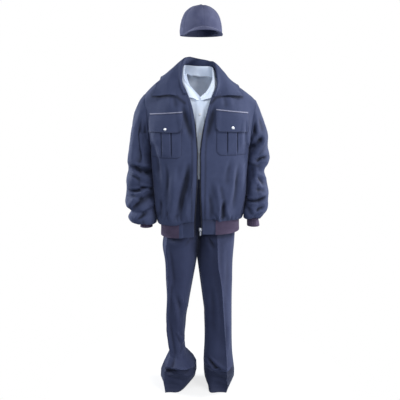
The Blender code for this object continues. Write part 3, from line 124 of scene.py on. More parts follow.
# %% Camera and studio
CAMERA_PLACE = (0.0, -2.70, 0.08)
CAMERA_TILT = 11.93  # degrees down
LENS = 53.02  # for a sensor 36 mm wide
FLOOR = -1.42
SKY_STRENGTH = 0.36
LAMPS = (
    # name, place, what it points at, size, power and colour
    ("key", (1.6, -1.8, 1.9), (0, 0, -0.4), 0.7, 50, (1.0, 0.99, 0.98)),
    ("fill", (-2.0, -2.0, 1.1), (0, 0, -0.4), 1.0, 22, (0.90, 0.95, 1.0)),
    ("side", (2.2, -1.2, -0.5), (0, 0, -0.6), 0.8, 27, (0.95, 0.97, 1.0)),
    ("front", (0.05, -3.0, 0.7), (0, 0, -0.25), 0.3, 18, (1, 1, 1)),
    ("rim left", (-2.3, 0.7, 0.1), (0, 0, -0.8), 0.7, 62, (0.92, 0.96, 1.0)),
    ("rim right", (2.3, 0.5, 0.3), (0, 0, -0.8), 0.7, 50, (1, 1, 1)),
)


def add_camera():
    data = bpy.data.cameras.new("camera")
    data.lens = LENS
    data.sensor_width = 36
    camera = bpy.data.objects.new("camera", data)
    bpy.context.scene.collection.objects.link(camera)
    camera.location = CAMERA_PLACE
    camera.rotation_euler = (math.radians(90 - CAMERA_TILT), 0, 0)
    bpy.context.scene.camera = camera


def add_lamp(name, place, target, size, power, colour):
    data = bpy.data.lights.new(name, "AREA")
    data.shape = "DISK"
    data.size = size
    data.energy = power
    data.color = colour
    lamp = bpy.data.objects.new(name, data)
    bpy.context.scene.collection.objects.link(lamp)
    lamp.location = place
    lamp.rotation_euler = (Vector(target) - Vector(place)).to_track_quat("-Z", "Y").to_euler()


def seen_and_lit(tree, seen, lit, output):
    """One shader for what the camera sees, and another for the light that it gives."""
    camera_ray = add_node(tree, "ShaderNodeLightPath").outputs["Is Camera Ray"]
    set_inputs(tree, output, Surface=mixed(tree, camera_ray, lit, seen).outputs[0])


def add_sky(strength):
    """White paper to the camera, and a dimmer cool sky to the cloth."""
    world = bpy.data.worlds.new("sky")
    bpy.context.scene.world = world
    world.use_nodes = True
    tree = world.node_tree
    paper = set_inputs(tree, tree.nodes["Background"], Color=(1, 1, 1, 1))
    sky = add_node(tree, "ShaderNodeBackground", Color=(0.88, 0.93, 1.0, 1), Strength=strength)
    seen_and_lit(tree, paper, sky, tree.nodes["World Output"])


def add_floor():
    """Paper that is lit near the hems and fades into the white behind."""
    mesh = bpy.data.meshes.new("floor")
    bm = bmesh.new()
    bmesh.ops.create_grid(bm, x_segments=1, y_segments=1, size=12)
    bm.to_mesh(mesh)
    bm.free()
    floor = bpy.data.objects.new("floor", mesh)
    bpy.context.scene.collection.objects.link(floor)
    floor.location = (0, 0, FLOOR - 0.001)
    paper, tree, near = new_material("paper", Base_Color=(0.97, 0.97, 0.98, 1), Roughness=0.9)
    away = add_node(tree, "ShaderNodeVectorMath", {"operation": "LENGTH"}, Vector=object_space(tree))
    reach = {"Value": away.outputs["Value"], "From_Min": 0.15, "From_Max": 0.75, "To_Min": 0.72}
    fade = add_node(tree, "ShaderNodeMapRange", **reach)
    seen = mixed(tree, fade.outputs["Result"], near, add_node(tree, "ShaderNodeEmission"))
    dim = add_node(tree, "ShaderNodeBsdfDiffuse", Color=(0.30, 0.32, 0.36, 1))
    seen_and_lit(tree, seen, dim, tree.nodes["Material Output"])
    mesh.materials.append(paper)


bpy.context.scene.view_settings.view_transform = "Standard"
add_camera()
add_sky(SKY_STRENGTH)
add_floor()
for lamp in LAMPS:
    add_lamp(*lamp)
print("camera at", CAMERA_PLACE, "tilted", CAMERA_TILT, "degrees down")

# %% [markdown]
# ## Cloth finishes
#
# Worn cloth never has one flat colour: the yarns differ, the nap catches light, and the weave breaks up
# every highlight. Each finish below mixes two near shades over a broad noise and raises its weave as
# bump. The weave follows the piece's own map, "cloth", which is laid out in metres like a paper pattern, so
# the threads run with the grain of each piece and not through it.

# %% What the finishes share
def pattern_space(tree, scale, turn=0.0):
    """The cloth map in metres, turned and scaled."""
    grain = add_node(tree, "ShaderNodeUVMap", {"uv_map": "cloth"}).outputs["UV"]
    spin = (0, 0, math.radians(turn))
    return add_node(tree, "ShaderNodeMapping", Vector=grain, Scale=scale, Rotation=spin).outputs["Vector"]


def noise(tree, space, **inputs):
    return add_node(tree, "ShaderNodeTexNoise", Vector=space, **inputs).outputs["Fac"]


def shades(tree, dark, light, patch_size):
    """Two near shades mixed by a broad noise in the space of the object."""
    broad = noise(tree, object_space(tree), Scale=1 / patch_size, Detail=4.0, Roughness=0.6)
    ramp = add_node(tree, "ShaderNodeValToRGB", Fac=broad)
    for stop, position, colour in zip(ramp.color_ramp.elements, (0.35, 0.65), (dark, light)):
        stop.position = position
        stop.color = (*colour, 1)
    return ramp.outputs["Color"]


def bumped(tree, shader, heights):
    """Stacks bumps, each given as height socket, strength and depth in metres."""
    under = {}
    for height, strength, distance in heights:
        bump = add_node(tree, "ShaderNodeBump", Height=height, Strength=strength, Distance=distance, **under)
        under = {"Normal": bump.outputs["Normal"]}
    set_inputs(tree, shader, **under)


# Painted shade: where a piece's shade attribute is full, its colour keeps only this share.
CREASE_SHADE = 0.32  # what is left of the colour at the bottom of a crease


def colour_with_painted_shade(tree, colour, dark):
    """Darkens the colour by the painted shade that each piece carries: in the hollows of folds, along seams
    and in painted shadows.
    """
    painted_shade = add_node(tree, "ShaderNodeAttribute", {"attribute_name": "painted_shade"})
    deep = add_node(tree, "ShaderNodeMix", {"data_type": "RGBA"})
    tree.links.new(painted_shade.outputs["Fac"], next(s for s in deep.inputs if s.name == "Factor"))
    tree.links.new(colour, next(s for s in deep.inputs if s.name == "A" and s.type == "RGBA"))
    bottom = next(s for s in deep.inputs if s.name == "B" and s.type == "RGBA")
    bottom.default_value = (*(c * CREASE_SHADE for c in dark), 1)
    return next(s for s in deep.outputs if s.type == "RGBA")


def cloth_material(name, shade_pair, patch_size, roughness, specular, sheen, sheen_roughness, tint):
    """A cloth without its weave: two shades, painted shade in its creases and a sheen of loose fibres."""
    surface = {
        "Roughness": roughness,
        "Specular_IOR_Level": specular,
        "Sheen_Weight": sheen,
        "Sheen_Roughness": sheen_roughness,
        "Sheen_Tint": (*tint, 1),
    }
    made, tree, shader = new_material(name, **surface)
    base = colour_with_painted_shade(tree, shades(tree, *shade_pair, patch_size), shade_pair[0])
    return made, tree, set_inputs(tree, shader, Base_Color=base)


# %% Twill and plain weave
def woven(name, dark, light, thread, turn, roughness, sheen, tint, patch_size=0.16, relief=1.0, slub=0.5):
    """A woven cloth. A turn of 45 degrees gives the slanting lines of twill, and 0 a plain rib."""
    made, tree, shader = cloth_material(name, (dark, light), patch_size, roughness, 0.25, sheen, 0.45, tint)
    across = pattern_space(tree, (0.314 / thread,) * 3, turn)
    bands = {"Vector": across, "Scale": 1.0, "Distortion": 0.6}
    lines = add_node(tree, "ShaderNodeTexWave", {"wave_type": "BANDS"}, **bands)
    yarn = noise(tree, pattern_space(tree, (260, 900, 1)), Scale=1.0, Detail=3.0)
    rumple = noise(tree, object_space(tree), Scale=38.0, Detail=5.0, Roughness=0.55)
    heights = [
        (rumple, slub, 0.0022),
        (lines.outputs["Color"], 0.35 * relief, 0.00018),
        (yarn, 0.25 * relief, 0.00022),
    ]
    bumped(tree, shader, heights)
    return made


# %% Ribbed knit
def calculated(tree, operation, *values):
    """The result of a math node, from plain values and sockets."""
    node = add_node(tree, "ShaderNodeMath", {"operation": operation})
    for socket, value in zip(node.inputs, values):
        feed(tree, socket, value)
    return node.outputs[0]


def knitted(name, dark, light, stitch, tint):
    """Knit: each stitch is a V, made by bending rows of waves up and down across the wale."""
    made, tree, shader = cloth_material(name, (dark, light), 0.05, 0.92, 0.2, 0.35, 0.6, tint)
    grain = add_node(tree, "ShaderNodeUVMap", {"uv_map": "cloth"}).outputs["UV"]
    parts = add_node(tree, "ShaderNodeSeparateXYZ", Vector=grain)
    wale = calculated(tree, "PINGPONG", parts.outputs["X"], stitch / 2)
    slanted = calculated(tree, "ADD", wale, parts.outputs["Y"])
    loops = calculated(tree, "SINE", calculated(tree, "MULTIPLY", slanted, 2 * math.pi / stitch))
    fuzz = noise(tree, object_space(tree), Scale=700.0, Detail=2.0)
    bumped(tree, shader, [(loops, 0.5, 0.0004), (fuzz, 0.3, 0.0003)])
    return made


# %% Metal, plastic and thread
def hard(name, colour, metallic, roughness, wear):
    made, tree, shader = new_material(name, Metallic=metallic)
    worn = noise(tree, object_space(tree), Scale=wear, Detail=4.0)
    spread = add_node(tree, "ShaderNodeMapRange", Value=worn, To_Min=roughness * 0.7, To_Max=roughness * 1.4)
    base = shades(tree, [c * 0.86 for c in colour], colour, 0.004)
    set_inputs(tree, shader, Base_Color=base, Roughness=spread.outputs["Result"])
    bumped(tree, shader, [(worn, 0.15, 0.0002)])
    return made


WEAVES = {
    # dark and light shade, thread, turn, roughness, sheen, its tint, then patch size, relief and slub
    "jacket_twill": (
        (0.031, 0.041, 0.090), (0.044, 0.056, 0.116), 0.0011, 45, 0.82, 0.10, (0.55, 0.62, 1.0)),
    "trouser_cloth": (
        (0.024, 0.031, 0.074), (0.033, 0.042, 0.094), 0.0008, 45, 0.74, 0.12, (0.6, 0.68, 1.0),
        0.22, 0.7, 0.25),
    "cap_cotton": (
        (0.056, 0.063, 0.126), (0.080, 0.088, 0.158), 0.0010, 45, 0.85, 0.15, (0.7, 0.72, 1.0),
        0.05, 0.9, 0.3),
    "shirt_cotton": (
        (0.68, 0.77, 0.93), (0.76, 0.84, 0.97), 0.0006, 0, 0.8, 0.05, (1, 1, 1), 0.12, 0.5, 0.3),
    "zip_tape": (
        (0.016, 0.019, 0.038), (0.024, 0.028, 0.052), 0.0009, 20, 0.85, 0.05, (0.6, 0.65, 1.0)),
    "piping": (
        (0.20, 0.21, 0.30), (0.27, 0.28, 0.38), 0.0008, 0, 0.55, 0.10, (1, 1, 1), 0.03),
}
HARD = {
    # colour, metallic, roughness and how fine the marks of wear are
    "bright_metal": ((0.86, 0.87, 0.90), 1.0, 0.36, 300.0),
    "shirt_button": ((0.86, 0.89, 0.95), 0.0, 0.3, 200.0),
    "dark_metal": ((0.055, 0.058, 0.075), 0.85, 0.38, 260.0),
    "navy_thread": ((0.060, 0.072, 0.150), 0.0, 0.6, 900.0),
    "cap_thread": ((0.10, 0.11, 0.22), 0.0, 0.6, 900.0),
    "white_thread": ((0.80, 0.85, 0.95), 0.0, 0.6, 900.0),
}
FINISH = {name: woven(name, *values) for name, values in WEAVES.items()}
FINISH["rib_knit"] = knitted(
    "rib_knit", (0.034, 0.025, 0.050), (0.047, 0.034, 0.066), 0.0024, (0.75, 0.6, 0.9)
)
FINISH.update((name, hard(name, *values)) for name, values in HARD.items())
print("finishes:", ", ".join(FINISH))

# %% [markdown]
# ## Reading a solid back as a grid
#
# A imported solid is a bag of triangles. The wall of a piece of cloth has an outer face, an inner face and
# rims, and only the triangles of a rim have an edge as long as the cloth is thick. With those gone, the outer
# face is a plain grid cut into triangles, and its rows and columns come back by walking over it one cell at
# a time. A grid is worth the trouble: it can be drawn finer, measured along, sewn along and unrolled flat.

# %% Triangles of a node
def triangles_of(node):
    bm = bmesh.new()
    bm.from_mesh(frame["nodes"][node].data)
    bmesh.ops.remove_doubles(bm, verts=bm.verts, dist=0.00001)
    bmesh.ops.triangulate(bm, faces=bm.faces)
    bm.verts.index_update()
    points = np.array([v.co for v in bm.verts])
    faces = [tuple(v.index for v in f.verts) for f in bm.faces]
    bm.free()
    return points, faces


def outer_layer(points, faces, cloth):
    """The triangles of the outer face: those without a rim's edge, in the piece that faces outwards."""

    def crosses(a, b):
        return abs(np.linalg.norm(points[a] - points[b]) - cloth) < 0.000002

    kept = [f for f in faces if not any(crosses(f[k], f[k - 1]) for k in range(3))]
    group = {}

    def root(v):
        while group.setdefault(v, v) != v:
            v = group[v]
        return v

    for f in kept:
        group[root(f[0])] = root(f[1])
        group[root(f[1])] = root(f[2])
    layers = {}
    for f in kept:
        layers.setdefault(root(f[0]), []).append(f)
    assert len(layers) == 2, f"a wall has two faces, and this has {len(layers)}"
    return max(layers.values(), key=lambda layer: area_of(points, layer))


def area_of(points, faces):
    p, q, r = (points[[f[k] for f in faces]] for k in range(3))
    return float(np.linalg.norm(np.cross(q - p, r - p), axis=1).sum()) / 2


# %% Walking over the cells
class Walker:
    """Walks over a grid that is cut into triangles, one cell at a time."""

    def __init__(self, faces):
        self.by_edge = {}
        for f in faces:
            for k in range(3):
                self.by_edge.setdefault(frozenset((f[k], f[k - 1])), []).append(f)
        self.used = set()

    def borders(self):
        """The loops of edges that have a triangle on one side only."""
        ends = {}
        for edge, around in self.by_edge.items():
            if len(around) == 1:
                a, b = edge
                ends.setdefault(a, []).append(b)
                ends.setdefault(b, []).append(a)
        loops = []
        while ends:
            loop = [min(ends)]
            while True:
                ways = [v for v in ends.pop(loop[-1]) if v in ends]
                if not ways:
                    break
                loop.append(ways[0])
            loops.append(loop)
        return loops

    def beyond(self, a, b):
        """The third corner of the unused triangle on an edge."""
        for f in self.by_edge.get(frozenset((a, b)), ()):
            if f not in self.used:
                return f, next(v for v in f if v not in (a, b))
        return None, None

    def fourth(self, a, b, d):
        """The corner across from a, in the cell whose other corners are b and d."""
        first, c = self.beyond(a, b)
        if first is None:
            return None
        self.used.add(first)
        second, other = self.beyond(b, d) if c == d else self.beyond(a, c)
        if second is None or (c != d and other != d):
            return None
        self.used.add(second)
        return other if c == d else c


def turning(points, loop, k):
    a, b, c = (points[loop[i % len(loop)]] for i in (k - 1, k, k + 1))
    return Vector(b - a).angle(Vector(c - b))


def walk_open(points, faces, rows, cols):
    """The vertex numbers of an open grid, by the corners of its border that turn the most."""
    loop = Walker(faces).borders()[0]
    assert len(loop) == 2 * (rows + cols) - 4, f"border of {len(loop)} for {rows} by {cols}"
    tries = []
    for way in (loop, loop[::-1]):
        for k in range(len(way)):
            corners = (k, k + cols - 1, k + cols + rows - 2, k + 2 * cols + rows - 3)
            tries.append((-sum(turning(points, way, c) for c in corners), k, way))
    for _, k, way in sorted(tries, key=lambda found: found[0])[:8]:
        ring = way[k:] + way[:k]
        walker = Walker(faces)
        grid = [ring[:cols]]
        edge = [ring[0]] + ring[:-rows:-1]
        for i in range(1, rows):
            row = [edge[i]]
            for a, b in zip(grid[-1], grid[-1][1:]):
                row.append(walker.fourth(a, b, row[-1]))
                if row[-1] is None:
                    break
            grid.append(row)
            if row[-1] is None:
                break
        if len(walker.used) == len(faces) and grid[-1][-1] is not None:
            return np.array(grid)
    raise ValueError("no grid of this size fits the piece")


def walk_tube(points, faces, rows, cols):
    """The vertex numbers of a tube's rings, from its lower end up."""
    loops = Walker(faces).borders()
    low = min(loops, key=lambda loop: points[loop][:, 2].mean())
    start = int(np.argmin(points[low][:, 1]))
    low = low[start:] + low[:start]
    assert len(low) == cols, f"ring of {len(low)} for {cols}"
    walker = Walker(faces)
    grid = [low]
    for _ in range(1, rows):
        ring = grid[-1]
        kept = set(walker.used)
        choices = []
        first, c = walker.beyond(ring[0], ring[1])
        walker.used.add(first)
        _, d = walker.beyond(ring[0], c)
        walker.used = set(kept)
        for corner in {c, d} - {None}:
            walker.used = set(kept)
            row = [corner]
            for j in range(cols):
                row.append(walker.fourth(ring[j], ring[(j + 1) % cols], row[-1]))
                if row[-1] is None:
                    break
            if row[-1] == row[0] and len(row) == cols + 1:
                along = points[ring[1]] - points[ring[0]]
                up = points[corner] - points[ring[0]]
                slant = abs(along @ up) / np.linalg.norm(along) / np.linalg.norm(up)
                choices.append((slant, row[:-1], set(walker.used)))
        assert choices, "a ring doesn't close"
        _, row, walker.used = min(choices, key=lambda found: found[0])
        grid.append(row)
    return np.array(grid)


# %% One call for any piece
def normals_over(points, facing, closed):
    """Unit normals of a grid. A closed one has its first column again at the end."""
    if closed:
        ring = points[:, :-1]
        along = np.roll(ring, -1, axis=1) - np.roll(ring, 1, axis=1)
        along = np.concatenate([along, along[:, :1]], axis=1)
    else:
        along = np.gradient(points, axis=1)
    crossed = np.cross(along, np.gradient(points, axis=0)) * facing
    return crossed / np.maximum(np.linalg.norm(crossed, axis=-1, keepdims=True), 1e-12)


class Grid:
    """A grid of points with rows going up and columns going towards +X, or round a tube."""

    def __init__(self, points, closed):
        self.points, self.facing, self.closed = points, 1, closed

    def ring(self):
        """The points, with the first column again at the end of a tube."""
        return np.concatenate([self.points, self.points[:, :1]], axis=1) if self.closed else self.points

    def normals(self):
        return normals_over(self.ring(), self.facing, self.closed)[:, : self.points.shape[1]]


def read_grid(node, cloth, rows, cols, closed=False):
    points, faces = triangles_of(node)
    layer = outer_layer(points, faces, cloth)
    numbers = (walk_tube if closed else walk_open)(points, layer, rows, cols)
    grid = Grid(points[numbers], closed)
    if not closed:
        if grid.points[0, :, 2].mean() > grid.points[-1, :, 2].mean():
            grid.points = grid.points[::-1]
        if grid.points[:, 0, 0].mean() > grid.points[:, -1, 0].mean():
            grid.points = grid.points[:, ::-1]
    ends = zip(grid.points.reshape(-1, 3), grid.normals().reshape(-1, 3))
    where = {tuple(np.round(point, 6)): normal for point, normal in ends}
    agree = 0.0
    for f in layer[:: max(1, len(layer) // 60)]:
        p, q, r = points[list(f)]
        agree += float(np.dot(np.cross(q - p, r - p), where[tuple(np.round(p, 6))]))
    grid.facing = 1 if agree > 0 else -1
    return grid


CLOTH = {"jacket": 0.0020, "shirt": 0.0010, "trouser": 0.0014, "cap": 0.0018, "patch": 0.0014, "peak": 0.0030}
CAP_PANELS = range(1, 7)
GRIDS = {
    # the cloth of each solid, its rows and its columns
    "jacket_back": ("jacket", 15, 17),
    "jacket_collar": ("jacket", 8, 29),
    "shirt_back": ("shirt", 12, 11),
    "shirt_collar": ("patch", 8, 21),
    "shirt_placket": ("patch", 7, 5),
    "trouser_fly": ("patch", 6, 4),
    "cap_visor": ("peak", 4, 13),
}
for side in SIDES:
    GRIDS[f"jacket_front_{side}"] = ("jacket", 15, 9)
    GRIDS[f"jacket_sleeve_{side}"] = ("jacket", 18, 24)
    GRIDS[f"shirt_front_{side}"] = ("shirt", 12, 6)
    GRIDS[f"shirt_sleeve_{side}"] = ("shirt", 6, 12)
    GRIDS[f"trouser_front_{side}"] = GRIDS[f"trouser_back_{side}"] = ("trouser", 17, 9)
for number in CAP_PANELS:
    GRIDS[f"cap_panel_{number}"] = ("cap", 8, 5)
coarse = {}
for node, (cloth, rows, cols) in GRIDS.items():
    coarse[node] = read_grid(node, CLOTH[cloth], rows, cols, closed="_sleeve_" in node)
print("grids read:", {name: grid.points.shape[:2] for name, grid in coarse.items()})

# %% [markdown]
# ## Drawing a grid finer
#
# A natural cubic spline through the rows and then through the columns gives a surface as smooth as the cut
# of real cloth, which bends but never has corners. The knots stand as far apart as the points do in space,
# because even knots would make the curve overshoot where the rings crowd together. Extra lines run close to
# every border, so that a seam can round over in the last two millimetres.

# %% Two curves that shape most details
def bell(distance, width):
    """1 at no distance, and nothing past about twice the width."""
    return np.exp(-((distance / width) ** 2))


def unit(value):
    """A value held between 0 and 1."""
    return np.clip(value, 0, 1)


# %% Splines
def spline(values, knots, at, closed=False):
    """A natural or a closed cubic spline through values[k] at knots[k], read along the first axis."""
    shape = values.shape
    flat = values.reshape(shape[0], -1)
    if closed:
        turns = knots[-1] - knots[0]
        flat = np.concatenate([flat[-4:-1], flat, flat[1:4]]) if np.allclose(flat[0], flat[-1]) else flat
        knots = np.concatenate([knots[-4:-1] - turns, knots, knots[1:4] + turns])
    n = len(knots)
    h = np.diff(knots)
    system, right = np.eye(n), np.zeros_like(flat)
    for i in range(1, n - 1):
        system[i, i - 1], system[i, i], system[i, i + 1] = h[i - 1], 2 * (h[i - 1] + h[i]), h[i]
        right[i] = 6 * ((flat[i + 1] - flat[i]) / h[i] - (flat[i] - flat[i - 1]) / h[i - 1])
    bend = np.linalg.solve(system, right)
    i = np.clip(np.searchsorted(knots, at, side="right") - 1, 0, n - 2)
    a, b, w = (knots[i + 1] - at)[:, None], (at - knots[i])[:, None], h[i][:, None]
    result = bend[i] * a**3 / (6 * w) + bend[i + 1] * b**3 / (6 * w)
    result += (flat[i] / w - bend[i] * w / 6) * a + (flat[i + 1] / w - bend[i + 1] * w / 6) * b
    return result.reshape(len(at), *shape[1:])


def knots_along(points, axis):
    """Distances along a grid's rows or columns, averaged over the others."""
    steps = np.linalg.norm(np.diff(points, axis=axis), axis=-1).mean(axis=1 - axis)
    return np.concatenate([[0.0], np.cumsum(steps)])


def broken_spline(values, knots, at, breaks):
    """A spline in stretches, with a corner at each break."""
    ends = [0, *breaks, len(knots) - 1]
    result = np.empty((len(at), *values.shape[1:]))
    for first, last in zip(ends, ends[1:]):
        here = (at >= knots[first] - 1e-9) & (at <= knots[last] + 1e-9)
        result[here] = spline(values[first : last + 1], knots[first : last + 1], at[here])
    return result


SEAM_STEPS = (0.0, 0.0007, 0.0018, 0.0036)


def marks(length, spacing, corners=()):
    """Where the fine lines run: close together at both ends and at corners, and evenly in between."""
    near = np.array(SEAM_STEPS if length > 4 * SEAM_STEPS[-1] else SEAM_STEPS[:1])
    inside = np.linspace(near[-1], length - near[-1], max(2, round(length / spacing)))
    for corner in corners:
        inside = inside[np.abs(inside - corner) > 0.0022]
        inside = np.sort(np.append(inside, corner + np.array([-0.0014, 0.0, 0.0014])))
    return np.concatenate([near[:-1], inside, length - near[-2::-1]])


class Fine:
    """A finely drawn piece of cloth: its points, outward normals and its flat map in metres."""

    def __init__(self, grid, spacing, folded_rows=(), folded_cols=()):
        closed, ring = grid.closed, grid.ring()
        up = knots_along(grid.points, 0)
        across = knots_along(ring, 1)
        v = marks(up[-1], spacing, up[list(folded_rows)])
        rows = broken_spline(ring, up, v, folded_rows).swapaxes(0, 1)
        if closed:
            u = np.linspace(0, across[-1], round(across[-1] / spacing) + 1)
            fine = spline(rows, across, u, closed=True).swapaxes(0, 1)
        else:
            u = marks(across[-1], spacing, across[list(folded_cols)])
            fine = broken_spline(rows, across, u, folded_cols).swapaxes(0, 1)
        self.u, self.v, self.closed, self.facing = u, v, closed, grid.facing
        self.fold_u = across[folded_cols[0]] if folded_cols else None
        self.base = fine
        self.plain = self.normals_of(fine)
        self.rise = np.zeros(fine.shape[:2])

    def normals_of(self, points):
        return normals_over(points, self.facing, self.closed)

    @property
    def points(self):
        return self.base + self.plain * self.rise[..., None]

    # How deep a point lies in a hollow becomes its painted shade.
    def painted_shade(self, reach=0.013, depth=0.0062):
        """How deep each point lies below the cloth round it, from 0 to 1."""
        steps = max(1, round(reach / np.diff(self.v).max())), max(1, round(reach / np.diff(self.u).max()))
        around = self.rise
        for axis, step in enumerate(steps):
            for _ in range(2):
                wide = [(0, 0), (0, 0)]
                wide[axis] = (step, step)
                padded = np.pad(around, wide, "wrap" if self.closed and axis == 1 else "edge")
                total = np.cumsum(padded, axis=axis)
                total = np.insert(total, 0, 0, axis=axis)
                size = around.shape[axis]
                high = np.take(total, range(2 * step + 1, 2 * step + 1 + size), axis=axis)
                around = (high - np.take(total, range(size), axis=axis)) / (2 * step + 1)
        return unit((around - self.rise - 0.0002) / depth)

    def inset(self, reach):
        """How far a point is from the borders: 0 on them, and 1 past the reach."""
        v = np.minimum(self.v, self.v[-1] - self.v)[:, None]
        u = np.minimum(self.u, self.u[-1] - self.u)[None, :]
        t = unit((np.broadcast_to(v, self.rise.shape) if self.closed else np.minimum(v, u)) / reach)
        return t * t * (3 - 2 * t)

    def flat_map(self):
        """The v and the u of every point, in metres."""
        return np.broadcast_to(self.v[:, None], self.rise.shape), np.broadcast_to(self.u, self.rise.shape)


# %% [markdown]
# ## Creases
#
# Cloth that is held at a seam and pulled elsewhere makes a crease: a soft trough with a low shoulder on
# each side, deepest in its middle and running out at its ends. Each is placed in the front view, by its two
# ends and how far it bows, and acts only on cloth that faces that way. Broad low swells with no
# pattern, from a few slanting waves, keep the cloth between the creases from looking pressed.

# %% Folds and swells
FOLD_GAIN = 1.35


def pressed(fine, folds, half="front"):
    """Adds folds to a piece, from rows of x, z, x, z of the two ends, bow, half width and depth."""
    x, z = fine.base[..., 0], fine.base[..., 2]
    towards = fine.plain[..., 1] * (-1 if half == "front" else 1)
    seen = unit(towards * 2.2 + 0.25)
    for x0, z0, x1, z1, bow, half_width, depth in folds:
        length = math.hypot(x1 - x0, z1 - z0)
        side_x, side_z = -(z1 - z0) / length, (x1 - x0) / length
        best = np.full_like(x, np.inf)
        where = np.zeros_like(x)
        steps = np.linspace(0, 1, 9)
        bend = bow * 4 * steps * (1 - steps)
        px, pz = x0 + (x1 - x0) * steps + side_x * bend, z0 + (z1 - z0) * steps + side_z * bend
        for k in range(len(steps) - 1):
            dx, dz = px[k + 1] - px[k], pz[k + 1] - pz[k]
            t = unit(((x - px[k]) * dx + (z - pz[k]) * dz) / (dx * dx + dz * dz))
            away = np.hypot(x - px[k] - t * dx, z - pz[k] - t * dz)
            where = np.where(away < best, (k + t) / (len(steps) - 1), where)
            best = np.minimum(best, away)
        ends = unit(np.minimum(where, 1 - where) * 3.2 + 0.12)
        width = half_width * (0.75 + 0.5 * where)
        trough = bell(best, width)
        shoulder = bell(best - 2.0 * width, 0.8 * width)
        fine.rise += FOLD_GAIN * seen * fine.inset(0.010) * ends * depth * (0.35 * shoulder - trough)


def swollen(fine, height, wave, seed):
    """Adds broad low swells from slanting waves whose directions come from a seed."""
    random = np.random.default_rng(seed)
    x, y, z = (fine.base[..., k] for k in range(3))
    total = np.zeros_like(x)
    for share in (1.0, 0.8, 0.62, 0.5, 0.4, 0.3):
        way = random.normal(size=3) * (1.0, 1.0, 0.75)
        way /= np.linalg.norm(way)
        turn = 2 * math.pi / (wave * share) * (x * way[0] + y * way[1] + z * way[2])
        total += share * np.sin(turn + random.uniform(0, 2 * math.pi) + 1.3 * np.sin(turn * 0.37 + share))
    fine.rise += height / 1.8 * total * fine.inset(0.014)


SEAM_ROUND = 0.0016
PUCKER_WIDTH = 0.0055


def seamed(fine, depth=0.0008, bottom=True, top=True):
    """Rounds the borders over, as cloth turns under at a seam."""
    v, u = fine.flat_map()
    if bottom:
        fine.rise -= depth * bell(v, SEAM_ROUND)
    if top:
        fine.rise -= depth * bell(fine.v[-1] - v, SEAM_ROUND)
    if not fine.closed:
        fine.rise -= depth * (bell(u, SEAM_ROUND) + bell(fine.u[-1] - u, SEAM_ROUND))


def puckers(z, x_from, x_to, count, length, depth, seed):
    """Short upright folds above a band that draws the cloth in."""
    random = np.random.default_rng(seed)
    table = []
    for x in np.linspace(x_from, x_to, count):
        x += random.uniform(-0.3, 0.3) * abs(x_to - x_from) / count
        tall = length * random.uniform(0.5, 1.2)
        aside = random.uniform(-0.008, 0.008)
        width = PUCKER_WIDTH * random.uniform(0.8, 1.3)
        table.append((x, z, x + aside, z + tall, 0.002, width, depth * random.uniform(0.6, 1.2)))
    return table


# %% [markdown]
# ## From grid to shell
#
# A piece of cloth is its outer face, the same face moved inwards by the cloth's thickness, and a rim that
# joins them. Its flat map goes on as the "cloth" map, so a weave runs with the grain.

# %% Build a shell
def shell(name, outer, inner, u, v, slot, node, closed=False, painted_shade=None):
    """One closed mesh from two grids. A closed grid repeats its first column at the end."""
    rows, cols = outer.shape[:2]
    wide = cols - 1 if closed else cols
    count = rows * wide
    at = np.arange(rows)[:, None] * wide + (np.arange(cols)[None, :] % wide)
    quads = np.stack([at[:-1, :-1], at[:-1, 1:], at[1:, 1:], at[1:, :-1]], axis=-1).reshape(-1, 4)
    flat = np.stack([np.broadcast_to(u, (rows, cols)), np.broadcast_to(v[:, None], (rows, cols))], axis=-1)
    corners = np.stack([flat[:-1, :-1], flat[:-1, 1:], flat[1:, 1:], flat[1:, :-1]], axis=2).reshape(-1, 4, 2)
    faces = [quads, quads[:, ::-1] + count]
    maps = [corners, corners[:, ::-1]]
    edges = [(at[0], flat[0]), (at[-1, ::-1], flat[-1, ::-1])]
    if not closed:
        edges += [(at[::-1, 0], flat[::-1, 0]), (at[:, -1], flat[:, -1])]
    for line, where in edges:
        a, b = line[:-1], line[1:]
        faces.append(np.stack([b, a, a + count, b + count], axis=-1))
        maps.append(np.stack([where[1:], where[:-1], where[:-1], where[1:]], axis=1))
    points = np.concatenate([g[:, :wide].reshape(-1, 3) for g in (outer, inner)])
    faces, maps = np.concatenate(faces), np.concatenate(maps)
    if volume_of(points, faces) < 0:
        faces, maps = faces[:, ::-1], maps[:, ::-1]
    mesh = bpy.data.meshes.new(name)
    mesh.from_pydata(points.tolist(), [], faces.tolist())
    mesh.uv_layers.new(name="cloth").data.foreach_set("uv", maps.reshape(-1).astype(np.float32))
    # The painted shade of each point of the outer face goes on as an attribute; the inner face gets none.
    if painted_shade is not None:
        deep = np.concatenate([painted_shade[:, :wide].reshape(-1), np.zeros(count)])
        mesh.attributes.new("painted_shade", "FLOAT", "POINT").data.foreach_set("value", deep.astype(np.float32))
    return finished(name, mesh, slot, node)


def volume_of(points, faces):
    a, b, c, d = (points[faces[:, k]] for k in range(4))
    return float(np.sum(a * np.cross(b, c)) + np.sum(a * np.cross(c, d))) / 6


def finished(name, mesh, slot, node=None, finish=None):
    """Smooth shading, the finish, and the piece's place in the frame."""
    mesh.shade_smooth()
    mesh.set_sharp_from_angle(angle=math.radians(55))
    mesh.materials.clear()
    mesh.materials.append(FINISH[finish or slot])
    piece = bpy.data.objects.new(name, mesh)
    bpy.context.scene.collection.objects.link(piece)
    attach(piece, "garment")
    if node:
        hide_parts(node)
    return piece


CUTS = []


